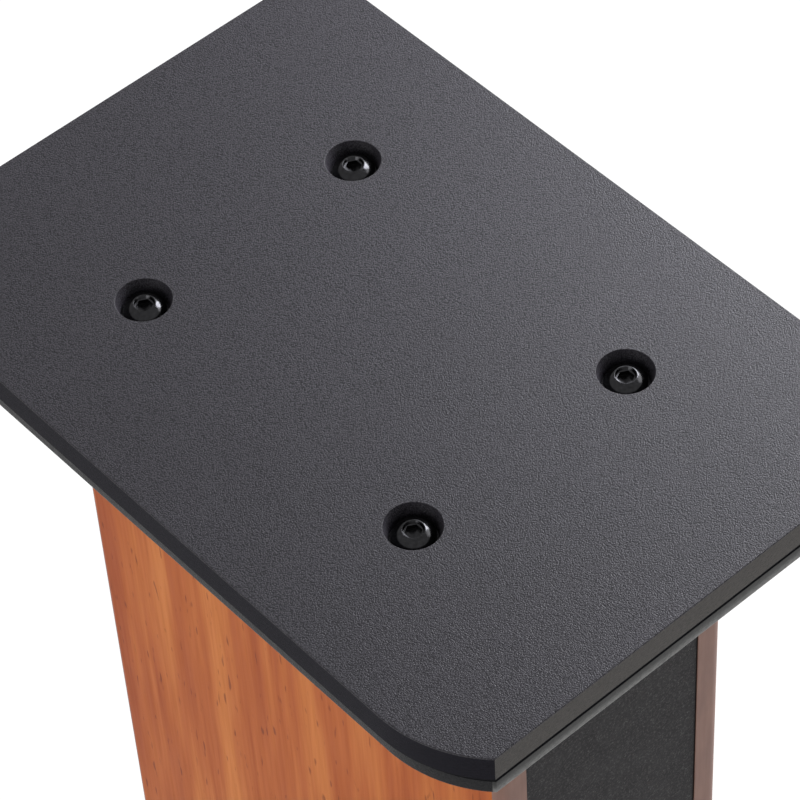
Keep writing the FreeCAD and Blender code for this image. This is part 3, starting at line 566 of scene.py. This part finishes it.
def raw_board():
    """Pressed fibres of bare board, inside the column."""
    f = Finish("raw_board", (0.42, 0.30, 0.19), 0.85)
    where = f.place()
    fibres = f.noise(where, 1.1 * MM, detail=5, roughness=0.7)
    patches = f.noise(where, 14 * MM, detail=3)
    colour = f.ramp(fibres, (0.3, (0.30, 0.20, 0.12)), (0.7, (0.50, 0.37, 0.24)))
    colour = f.mix(colour, f.ramp(patches, (0.3, 0.85), (0.7, 1.0)), 1.0, "MULTIPLY")
    return f.use(Base_Color=colour, Normal=f.bump(fibres, 0.12 * MM))


def beech():
    """Pale hardwood of the dowels, its grain along them."""
    f = Finish("beech", (0.60, 0.42, 0.26), 0.6)
    fibres = f.noise(f.place(stretch=(0.06, 1, 1)), 0.8 * MM, detail=4, roughness=0.6)
    colour = f.ramp(fibres, (0.3, (0.48, 0.32, 0.19)), (0.7, (0.68, 0.50, 0.32)))
    return f.use(Base_Color=colour, Normal=f.bump(fibres, 0.05 * MM))


def zinc_plate():
    """Dull bright metal of the inserts and screws inside."""
    f = Finish("zinc_plate", (0.62, 0.60, 0.56), 0.35, metallic=1.0)
    cloud = f.noise(f.place(), 2 * MM, detail=4)
    colour = f.ramp(cloud, (0.3, (0.52, 0.50, 0.46)), (0.7, (0.68, 0.67, 0.63)))
    return f.use(Base_Color=colour, Roughness=f.ramp(cloud, (0.3, 0.28), (0.7, 0.45)),
                 Normal=f.bump(cloud, 0.02 * MM))


def black_rubber():
    """Matt rubber of the cable rings, with a faint bloom."""
    f = Finish("black_rubber", (0.022, 0.022, 0.023), 0.6)
    where = f.place()
    bloom = f.noise(where, 5 * MM, detail=4)
    grit = f.noise(where, 0.3 * MM, detail=2)
    colour = f.ramp(bloom, (0.3, (0.017, 0.017, 0.018)), (0.7, (0.034, 0.034, 0.035)))
    return f.use(Base_Color=colour, Roughness=f.ramp(bloom, (0.3, 0.5), (0.7, 0.7)),
                 Normal=f.bump(grit, 0.03 * MM))


def black_felt():
    """Felt: matted fibres with a soft sheen."""
    f = Finish("black_felt", (0.030, 0.030, 0.032), 0.95, level=0.2)
    where = f.place()
    fibres = f.noise(where, 0.5 * MM, detail=6, roughness=0.8, distortion=1.5)
    colour = f.ramp(fibres, (0.3, (0.014, 0.014, 0.016)), (0.7, (0.060, 0.060, 0.064)))
    f.shader.inputs["Sheen Weight"].default_value = 0.5
    f.shader.inputs["Sheen Roughness"].default_value = 0.5
    return f.use(Base_Color=colour, Normal=f.bump(fibres, 0.25 * MM))


def dark_nickel():
    """Turned and dark plated steel of the feet, with fine rings from the lathe."""
    f = Finish("dark_nickel", (0.20, 0.20, 0.21), 0.3, metallic=1.0)
    where = f.place(stretch=(1, 1, 14))
    rings = f.noise(where, 2.5 * MM, detail=3)
    cloud = f.noise(f.place(), 3 * MM, detail=3)
    colour = f.ramp(cloud, (0.3, (0.15, 0.15, 0.16)), (0.7, (0.24, 0.24, 0.25)))
    return f.use(Base_Color=colour, Roughness=f.ramp(rings, (0.3, 0.24), (0.7, 0.4)),
                 Normal=f.bump(rings, 0.015 * MM))


FILM = pebbled_film()
BOARD = painted_board("painted_board", (0.005, 0.005, 0.007), (0.015, 0.014, 0.019), 0.02)
# painted light: a lighter, glossier copy of the board paint for the front faces, for the light and reflection
# that side catches
LIT_FRONT_BOARD = painted_board("painted_board_lit_front", (0.014, 0.013, 0.012), (0.090, 0.082, 0.076), 0.12)
# painted shade: near-black in the groove between board and steel, dark red-brown on the side panels' inner
# faces
GROOVE_SHADE = painted_shade("painted_shade", (0.002, 0.002, 0.003), (0.006, 0.006, 0.007))
SHADE = painted_shade("panel_inside_shade", (0.014, 0.008, 0.007), (0.026, 0.015, 0.013))
STEEL = powder_coat()
BOLT = black_oxide()
WOOD = wood_laminate()
BAND = band_shade_and_sheen()
PANEL = speckled_panel()
RAW = raw_board()
DOWEL = beech()
ZINC = zinc_plate()
RUBBER = black_rubber()
FELT = black_felt()
NICKEL = dark_nickel()


def dress(piece, material, slot, body, *nodes):
    """Give the piece its finish, let it ride, and let it stand for its CAD nodes."""
    piece.data.materials.clear()
    piece.data.materials.append(material)
    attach(piece, body)
    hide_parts(*nodes)


def paint(piece, finish, wanted):
    """Give the faces that pass the test another finish."""
    piece.data.materials.append(finish)
    for face in piece.data.polygons:
        if wanted(face):
            face.material_index = len(piece.data.materials) - 1


# ------------------------------------------------------------------ plates

def plate(name, node, board):
    """A plate with the shared outline. The arcs of the front corners end where the front is cut off."""
    low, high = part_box(node)
    outer_low, outer_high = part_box(board)
    inset = low.x - outer_low.x
    forward = (low.y + high.y - outer_low.y - outer_high.y) / 2
    radius = CORNER_RADIUS - inset
    nose = outer_low.y + CORNER_RADIUS * math.sin(CORNER_TURN) + forward - radius
    piece = block(name, (low.x, nose, low.z), high)
    bevel_edges(piece, upright(lambda x, y: close_to(y, nose)), radius, 28)
    saw_off(piece, low, (0, -1, 0))
    bevel_edges(piece, upright(lambda x, y: close_to(y, high.y)), REAR_RADIUS - inset, 8)
    return piece


def finish_edge(piece, joint, front=None):
    """Painted shade in the joint's groove; painted light on a board's front, a lighter copy of its paint."""
    def in_groove(face):
        return abs(face.center.z - joint) < JOINT_SHADE and abs(face.normal.z) < GROOVE_WRAP

    def lit_front_face(face):
        at_front = abs(face.center.y - front) < LIT_FRONT_DEPTH and face.normal.y < -LIT_FRONT_WRAP
        return at_front and not in_groove(face)

    paint(piece, GROOVE_SHADE, in_groove)
    if front is not None:
        paint(piece, LIT_FRONT_BOARD, lit_front_face)


def steel_plate(name, node, board):
    """A coated plate under its board, rounded above and below, with a painted highlight along the front."""
    low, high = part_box(node)
    steel = plate(name, node, board)
    bevel_edges(steel, level_at(low.z), STEEL_LOW_ROUND, 5)
    bevel_edges(steel, level_at(high.z), STEEL_TOP_ROUND, 4)
    dress(steel, STEEL, "black_steel", "stand", node)
    finish_edge(steel, high.z)

    # the front faces that get the painted highlight
    def highlit_front(face):
        return face.material_index == 0 and face.normal.y < -HIGHLIGHT_WRAP and face.center.y < low.y + HIGHLIGHT_DEPTH

    paint(steel, steel_front_highlight(node), highlit_front)
    return steel


def make_head_film():
    """The film ends at the rims of the four recesses."""
    low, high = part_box("head_film")
    film = plate("head_film_skin", "head_film", "head_board")
    for place in HEAD_BOLT_PLACES:
        combine(film, drill(RECESS_RIM / 2, low.z - SPARE, high.z + SPARE, place, FINE_STEPS))
    bevel_edges(film, level_at(high.z), FILM_ROUND, 3)
    smooth(film)
    dress(film, FILM, "textured_film", "stand", "head_film")


def make_head_board():
    """The board has four tapered recesses, lined as its top is, with a bolt hole in each."""
    low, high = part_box("head_board")
    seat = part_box("head_bolts")[1].z - HEAD_BOLT_HEIGHT
    board = plate("head_board_core", "head_board", "head_board")
    bevel_edges(board, level_at(low.z), BOARD_LOW_ROUND, 4)
    for x, y in HEAD_BOLT_PLACES:
        recess = turned("recess", [(0, seat), (RECESS_FLOOR / 2, seat), (RECESS_RIM / 2, high.z),
                                   (RECESS_RIM / 2, high.z + SPARE), (0, high.z + SPARE)],
                        (x, y, 0), FINE_STEPS)
        combine(board, recess)
        combine(board, drill(BOARD_HOLE, low.z - SPARE, seat + SPARE, (x, y)))
    smooth(board)
    dress(board, BOARD, "black_board", "stand", "head_board")
    finish_edge(board, low.z, low.y)

    def in_recess(face):
        beside = any((face.center.xy - Vector(place)).length < RECESS_RIM / 2 for place in HEAD_BOLT_PLACES)
        return beside and face.center.z > seat - SPARE

    paint(board, FILM, in_recess)


def make_head_steel():
    """The head's steel plate, with a hole for each bolt."""
    low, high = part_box("head_steel_plate")
    steel = steel_plate("head_steel", "head_steel_plate", "head_board")
    for place in HEAD_BOLT_PLACES:
        combine(steel, drill(STEEL_HOLE, low.z - SPARE, high.z + SPARE, place))
    smooth(steel)


def make_base():
    """The same three layers as the head, with countersunk bolt holes and the holes for the feet."""
    film = plate("base_film_skin", "base_film", "base_board")
    bevel_edges(film, level_at(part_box("base_film")[1].z), FILM_ROUND, 3)
    smooth(film)
    dress(film, FILM, "textured_film", "stand", "base_film")

    board_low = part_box("base_board")[0]
    board = plate("base_board_core", "base_board", "base_board")
    bevel_edges(board, level_at(board_low.z), BOARD_LOW_ROUND, 4)
    smooth(board)
    dress(board, BOARD, "black_board", "stand", "base_board")
    finish_edge(board, board_low.z, board_low.y)

    low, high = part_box("base_steel_plate")
    steel = steel_plate("base_steel", "base_steel_plate", "base_board")
    head, neck = 8 * MM, 4.25 * MM
    for x, y in sorted(BASE_BOLT_PLACES):
        sink = turned("sink", [(0, low.z - SPARE), (head + SPARE, low.z - SPARE), (head, low.z),
                               (neck, low.z + head - neck), (neck, high.z + SPARE), (0, high.z + SPARE)],
                      (x, y, 0), HOLE_STEPS)
        combine(steel, sink)
    for corner in CORNERS:
        foot_low, foot_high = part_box("spike_" + corner)
        middle = (foot_low + foot_high) / 2
        combine(steel, drill(STEEL_HOLE, low.z - SPARE, high.z + SPARE, (middle.x, middle.y)))
    smooth(steel)


# ------------------------------------------------------------------ fasteners

def bulge(edge, crown, radius, steps):
    """Points (r, z) along an arc of that radius, which bulges outwards between edge and crown."""
    chord = math.hypot(edge[0] - crown[0], crown[1] - edge[1])
    lift = math.sqrt(radius ** 2 - (chord / 2) ** 2)
    centre_r = (edge[0] + crown[0]) / 2 - (crown[1] - edge[1]) / chord * lift
    centre_z = (edge[1] + crown[1]) / 2 - (edge[0] - crown[0]) / chord * lift
    first = math.degrees(math.atan2(edge[1] - centre_z, edge[0] - centre_r))
    last = math.degrees(math.atan2(crown[1] - centre_z, crown[0] - centre_r))
    return arc(centre_r, centre_z, radius, first, last, steps)


def make_head_bolts():
    """Button heads with a hexagon socket, on threaded shanks."""
    x, y = HEAD_BOLT_PLACES[0]
    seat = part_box("head_bolts")[1].z - HEAD_BOLT_HEIGHT
    profile = [(0, -12), (2.9, -12), (3.35, -11.5), (3.35, -0.8), (4.0, -0.2), (4.0, 0), (6.8, 0), (7.1, 0.3)]
    profile += bulge((7.1, 1.9), (3.75, 4.4), 9.0, 14)
    profile += [(3.48, 4.4), (3.05, 3.3), (0, 3.3)]
    bolt = turned("head_bolt_front_left", in_mm(profile), (x, y, seat), FINE_STEPS)
    combine(bolt, prism("socket", 6, HEX_SOCKET, seat + 1.6 * MM, seat + 5 * MM, (x, y)))
    # the drill's point below the socket
    combine(bolt, turned("point", in_mm([(0, 0.5), (2.4, 1.7), (0, 1.7)]), (x, y, seat), HOLE_STEPS))
    soften(bolt, 0.07 * MM)
    ridge = thread(-11.4 * MM, -1.2 * MM, (x, y, seat))
    bolt = join([bolt, ridge], "head_bolt_front_left")
    smooth(bolt, 35)
    for piece in copies_of(bolt, "head_bolt_", HEAD_BOLT_PLACES):
        dress(piece, BOLT, "black_bolt", "stand", "head_bolts")


def make_base_bolts():
    """Countersunk bolts from below, whose flush heads show under the base."""
    x, y = BASE_BOLT_PLACES[0]
    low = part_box("base_bolts")[0].z
    profile = [(0, 0), (7.8, 0), (8.0, 0.25), (4.0, 4.25), (3.35, 5), (3.35, 49.4), (2.8, 50), (0, 50)]
    bolt = turned("base_bolt_front_left", in_mm(profile), (x, y, low))
    combine(bolt, prism("socket", 6, HEX_SOCKET, low - SPARE, low + 2.5 * MM, (x, y)))
    soften(bolt, 0.1 * MM)
    ridge = thread(26 * MM, 49 * MM, (x, y, low))
    bolt = join([bolt, ridge], "base_bolt_front_left")
    smooth(bolt, 35)
    for piece in copies_of(bolt, "base_bolt_", BASE_BOLT_PLACES):
        dress(piece, BOLT, "black_bolt", "stand", "base_bolts")


# ------------------------------------------------------------------ column

def make_side_panels():
    """The wood's outer edges are well rounded, and its inner ones just broken."""
    for node in ("left_side_panel", "right_side_panel"):
        low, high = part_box(node)
        outer = max(low.x, high.x, key=abs)
        inner = min(low.x, high.x, key=abs)
        panel = block(node + "_wood", low, high)
        bevel_edges(panel, upright(lambda x, y: close_to(x, outer)), SIDE_EDGE_RADIUS, 12)
        bevel_edges(panel, upright(lambda x, y: close_to(x, inner)), ARRIS, 2)
        smooth(panel)
        dress(panel, WOOD, "wood_laminate", "stand", node)
        edge_band(panel)


def edge_band(panel):
    """Front and rear edges get the band's painted shade and sheen, and the panel's inside painted shade."""
    def banded(face):
        return abs(face.normal.y) > BAND_WRAP

    def inside(face):
        faces_in = face.normal.x * face.center.x < -INSIDE_WRAP * abs(face.center.x)
        return faces_in and not banded(face)

    paint(panel, BAND, banded)
    paint(panel, SHADE, inside)


def infill(name, node):
    """A black panel that stands between the side panels."""
    low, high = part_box(node)
    panel = block(name, low, high)
    bevel_edges(panel, upright(lambda x, y: True), ARRIS, 2)
    return panel


def make_infill_panels():
    """The black front panel, and the rear one with its two cable holes."""
    front = infill("front_panel_black", "front_panel")
    smooth(front)
    dress(front, PANEL, "black_panel", "stand", "front_panel")
    rear = infill("rear_panel_black", "rear_panel")
    for node in ("upper_cable_grommet", "lower_cable_grommet"):
        low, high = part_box(node)
        hole = drill(CABLE_HOLE / 2, -DRILL_REACH, DRILL_REACH, steps=64)
        hole.rotation_euler = (math.radians(90), 0, 0)
        hole.location = (low + high) / 2
        combine(rear, hole)
    smooth(rear)
    dress(rear, PANEL, "black_panel", "stand", "rear_panel")


def make_grommets():
    """Rubber rings in the cable holes, with a rounded flange outside and a lip inside."""
    low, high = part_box("upper_cable_grommet")
    middle = (low + high) / 2
    profile = [(14.5, -15), (18, -15), (20, -12.8), (20, -12.05), (18.05, -12), (18.0, 0.02), (23, 0.02)]
    profile += [(23, 0.8), (22.6, 1.6), (21.8, 2.2), (20.6, 2.5)]
    profile += [(16.2, 2.5), (15.2, 2.1), (14.6, 1.4), (14.5, 0.6), (14.5, -15)]
    ring = turned("upper_grommet_ring", in_mm(profile))
    soften(ring, 0.2 * MM, 40)
    # stood up to face the rear, its flange on the panel's outer face
    ring.rotation_euler = (math.radians(-90), 0, 0)
    ring.location = (middle.x, high.y - GROMMET_FLANGE, middle.z)
    only(ring)
    keep_as("upper_grommet_ring")
    smooth(ring)
    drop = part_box("lower_cable_grommet")[0].z - low.z
    lower = copy_of(ring, "lower_grommet_ring", (0, 0, drop))
    dress(ring, RUBBER, "grommet_rubber", "stand", "upper_cable_grommet")
    dress(lower, RUBBER, "grommet_rubber", "stand", "lower_cable_grommet")


# ------------------------------------------------------------------ feet

def make_felt(x, y):
    """A thin felt disc, its edge pressed a little round."""
    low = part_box("felt_pad_front_left")[0].z
    profile = [(0, 0), (11.1, 0), (11.4, 0.3), (11.5, 0.75), (11.4, 1.2), (11.15, 1.5), (0, 1.5)]
    felt = turned("felt", in_mm(profile), (x, y, low))
    smooth(felt, 50)
    return felt


def make_disc(x, y):
    """A floor disc with a groove turned in its rim and a seat for the spike's point."""
    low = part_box("floor_disc_front_left")[0].z
    profile = [(0, 0), (12.7, 0), (13, 0.3), (13, 2.2), (12.75, 2.4), (12.75, 2.7), (13, 2.9), (13, 4.5)]
    profile += arc(11.8, 4.8, 1.2, 0, 90, 6)[1:]
    profile += [(5.0, 6), (4.5, 5.7), (1.7, 3.1), (0, 3)]
    disc = turned("disc", in_mm(profile), (x, y, low), FINE_STEPS)
    smooth(disc, 35)
    return disc


def make_spike(x, y):
    """A cone, a fluted grip for the fingers, and a threaded stud."""
    low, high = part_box("spike_front_left")
    stud = high.z - low.z
    cone = [(0, 0), (0.5, 0), (0.8, 0.3), (5.4, 12.9), (5.7, 13)]
    grip = [(7.9, 13), (8.2, 13.15), (8.45, 13.4), (8.5, 13.7)]
    grip += [(8.5, 17.3), (8.45, 17.6), (8.2, 17.85), (7.9, 18), (3.7, 18)]
    shank = [(3.35, 18.4)]
    top = [(3.35 * MM, stud - 0.6 * MM), (2.9 * MM, stud), (0, stud)]
    spike = turned("spike", in_mm(cone + grip + shank) + top, (x, y, low.z), FINE_STEPS)
    for index in range(FLUTES):
        turn = math.radians(360 / FLUTES * index)
        at = (x + FLUTE_REACH * math.cos(turn), y + FLUTE_REACH * math.sin(turn))
        combine(spike, prism("flute", 24, FLUTE_WIDTH, low.z + 12 * MM, low.z + 19 * MM, at))
    soften(spike, 0.12 * MM, 40)
    ridge = thread(18.2 * MM, stud - 0.8 * MM, (x, y, low.z))
    spike = join([spike, ridge], "spike")
    smooth(spike, 35)
    return spike


def make_nut(x, y):
    """A hexagon whose corners are turned off above and below, with a countersunk bore."""
    low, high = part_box("lock_nut_front_left")
    height = high.z - low.z
    nut = prism("nut", 6, NUT_FLATS, low.z, high.z, (x, y))
    nut.data.transform(Matrix.Translation((x, y, 0)) @ Matrix.Rotation(math.radians(30), 4, "Z")
                       @ Matrix.Translation((-x, -y, 0)))
    inner = NUT_FLATS / 2
    outer = inner / math.cos(math.radians(30)) + SPARE
    drop = (outer - inner) * math.tan(NUT_CHAMFER)
    form = turned("form", [(0, 0), (inner, 0), (outer, drop), (outer, height - drop),
                           (inner, height), (0, height)], (x, y, low.z), FINE_STEPS)
    combine(nut, form, "INTERSECT")
    bore = turned("bore", [(0, -SPARE), (NUT_MOUTH, -SPARE), (STEEL_HOLE, 0.5 * MM),
                           (STEEL_HOLE, height - 0.5 * MM), (NUT_MOUTH, height + SPARE),
                           (0, height + SPARE)], (x, y, low.z))
    combine(nut, bore)
    soften(nut, 0.1 * MM, 25)
    smooth(nut, 30)
    return nut


def make_washer(x, y):
    """A flat ring with its edges just broken."""
    low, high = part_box("washer_front_left")
    thick = high.z - low.z
    washer = turned("washer", [(4.2 * MM, 0.1 * MM), (4.3 * MM, 0), (7.85 * MM, 0), (8 * MM, 0.15 * MM),
                               (8 * MM, thick - 0.15 * MM), (7.85 * MM, thick), (4.3 * MM, thick),
                               (4.2 * MM, thick - 0.1 * MM), (4.2 * MM, 0.1 * MM)], (x, y, low.z))
    smooth(washer, 35)
    return washer


def make_feet():
    """The front left foot is made once, and each corner gets a copy of its pieces."""
    low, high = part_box("spike_front_left")
    x, y = (low.x + high.x) / 2, (low.y + high.y) / 2
    # a piece, its name, the body that it rides on, the node that it stands for, its finish and slot
    kinds = ((make_felt(x, y), "felt_", "disc_", "felt_pad_", FELT, "felt"),
             (make_disc(x, y), "disc_", "disc_", "floor_disc_", NICKEL, "foot_metal"),
             (make_spike(x, y), "levelling_spike_", "screw_", "spike_", NICKEL, "foot_metal"),
             (make_nut(x, y), "nut_", "nut_", "lock_nut_", NICKEL, "foot_metal"),
             (make_washer(x, y), "flat_washer_", "ring_", "washer_", NICKEL, "foot_metal"))
    for corner in CORNERS:
        far_low, far_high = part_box("spike_" + corner)
        shift = ((far_low.x + far_high.x) / 2 - x, (far_low.y + far_high.y) / 2 - y, 0)
        for piece, name, body, node, material, slot in kinds:
            made = copy_of(piece, name + corner, shift)
            dress(made, material, slot, body + corner, node + corner)
    for kind in kinds:
        bpy.data.objects.remove(kind[0])


# ------------------------------------------------------------------ inner CAD nodes

def dress_inner_nodes():
    """The pieces inside the column and base keep their shape."""
    for name, material in (("top_block", RAW), ("bottom_block", RAW), ("column_brace", RAW),
                           ("dowels", DOWEL), ("base_inserts", ZINC), ("plate_screws", ZINC)):
        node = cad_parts[name]
        node.data.materials.clear()
        node.data.materials.append(material)


# ------------------------------------------------------------------ stage, light and camera

def seen_directly(nodes, links):
    """1 for what the camera sees directly, in a gloss or through glass, and 0 for diffuse light."""
    path = nodes.new("ShaderNodeLightPath")
    share = path.outputs["Is Camera Ray"]
    for ray in ("Is Glossy Ray", "Is Transmission Ray"):
        either = nodes.new("ShaderNodeMath")
        either.operation = "MAXIMUM"
        links.new(share, either.inputs[0])
        links.new(path.outputs[ray], either.inputs[1])
        share = either.outputs[0]
    return share


def make_stage():
    """A white floor that keeps the stand's shadow and is seen as plain white further out."""
    begin()
    bpy.ops.mesh.primitive_plane_add(size=FLOOR_SIZE, location=(0, 0, 0))
    floor = keep_as("floor")
    f = Finish("white_floor", (0.86, 0.86, 0.86), 0.9, level=0.1)
    light = f.lay("ShaderNodeEmission", Strength=FLOOR_WHITE)
    seen = seen_directly(f.nodes, f.links)
    reach = f.nodes.new("ShaderNodeVectorMath")
    reach.operation = "LENGTH"
    f.feed(reach.inputs[0], f.place())
    glow = f.lay("ShaderNodeMapRange", Value=reach.outputs["Value"], From_Min=GLOW_FROM,
                 From_Max=GLOW_TO, To_Min=FLOOR_GLOW, To_Max=1.0)
    mix = f.lay("ShaderNodeMixShader", Fac=f.sum(seen, glow.outputs["Result"], "MULTIPLY"))
    f.links.new(f.shader.outputs[0], mix.inputs[1])
    f.links.new(light.outputs[0], mix.inputs[2])
    f.links.new(mix.outputs[0], f.nodes["Material Output"].inputs["Surface"])
    floor.data.materials.append(f.material)


def softbox(name, place, aim, width, height, watts, tint=(1, 1, 1)):
    """A lamp with a flat face that looks at aim and isn't seen itself."""
    data = bpy.data.lights.new(name, "AREA")
    data.shape = "RECTANGLE"
    data.size = width
    data.size_y = height
    data.energy = watts
    data.color = tint
    lamp = bpy.data.objects.new(name, data)
    bpy.context.scene.collection.objects.link(lamp)
    lamp.visible_camera = False
    lamp.location = place
    lamp.rotation_euler = (Vector(aim) - Vector(place)).to_track_quat("-Z", "Y").to_euler()


def make_light():
    """Softboxes light the sides, a window shows in the bolts, and two near lamps give the top its sheen."""
    column = (0, 0, 0.45)
    plate_middle = (0, 0, 0.64)
    plate_side = (0.08, 0, 0.64)
    softbox("left_softbox", (-2.0, -0.2, 0.85), column, 1.4, 1.3, 27)
    softbox("front_softbox", (1.2, -1.8, 0.9), plate_middle, 1.2, 1.2, 16)
    softbox("rear_softbox", (0.4, 2.1, 0.5), column, 1.4, 1.0, 18)
    softbox("right_softbox", (2.1, 0.4, 0.5), column, 1.4, 1.0, 18)
    softbox("window", (1.35, 0.0, 1.31), plate_side, 1.3, 0.9, 17)
    softbox("sheen_right", (0.50, 0.10, 0.98), plate_side, 0.25, 0.25, 4.8, COOL)
    softbox("sheen_rear", (0.40, 0.25, 0.98), plate_side, 0.25, 0.25, 0.9, COOL)
    world = bpy.context.scene.world or bpy.data.worlds.new("studio")
    bpy.context.scene.world = world
    world.use_nodes = True
    nodes, links = world.node_tree.nodes, world.node_tree.links
    nodes.clear()
    mix = nodes.new("ShaderNodeMixShader")
    links.new(seen_directly(nodes, links), mix.inputs[0])
    for socket, strength in ((mix.inputs[1], ROOM_LIGHT), (mix.inputs[2], 1.0)):
        sky = nodes.new("ShaderNodeBackground")
        sky.inputs["Color"].default_value = (1, 1, 1, 1)
        sky.inputs["Strength"].default_value = strength
        links.new(sky.outputs[0], socket)
    out = nodes.new("ShaderNodeOutputWorld")
    links.new(mix.outputs[0], out.inputs["Surface"])


def make_camera():
    """A long lens from the front left, close above the head."""
    data = bpy.data.cameras.new("camera")
    data.lens = 166.27
    data.sensor_width = 36
    data.clip_start = 0.05
    data.clip_end = 100
    camera = bpy.data.objects.new("camera", data)
    bpy.context.scene.collection.objects.link(camera)
    camera.location = (-0.4912, -0.6163, 1.5231)
    camera.rotation_euler = [math.radians(turn) for turn in (40.976, 2.5615, -41.821)]
    bpy.context.scene.camera = camera


make_head_film()
make_head_board()
make_head_steel()
make_head_bolts()
make_side_panels()
make_infill_panels()
make_grommets()
make_base()
make_base_bolts()
make_feet()
dress_inner_nodes()
make_stage()
make_light()
make_camera()
bpy.context.scene.view_settings.view_transform = "Standard"
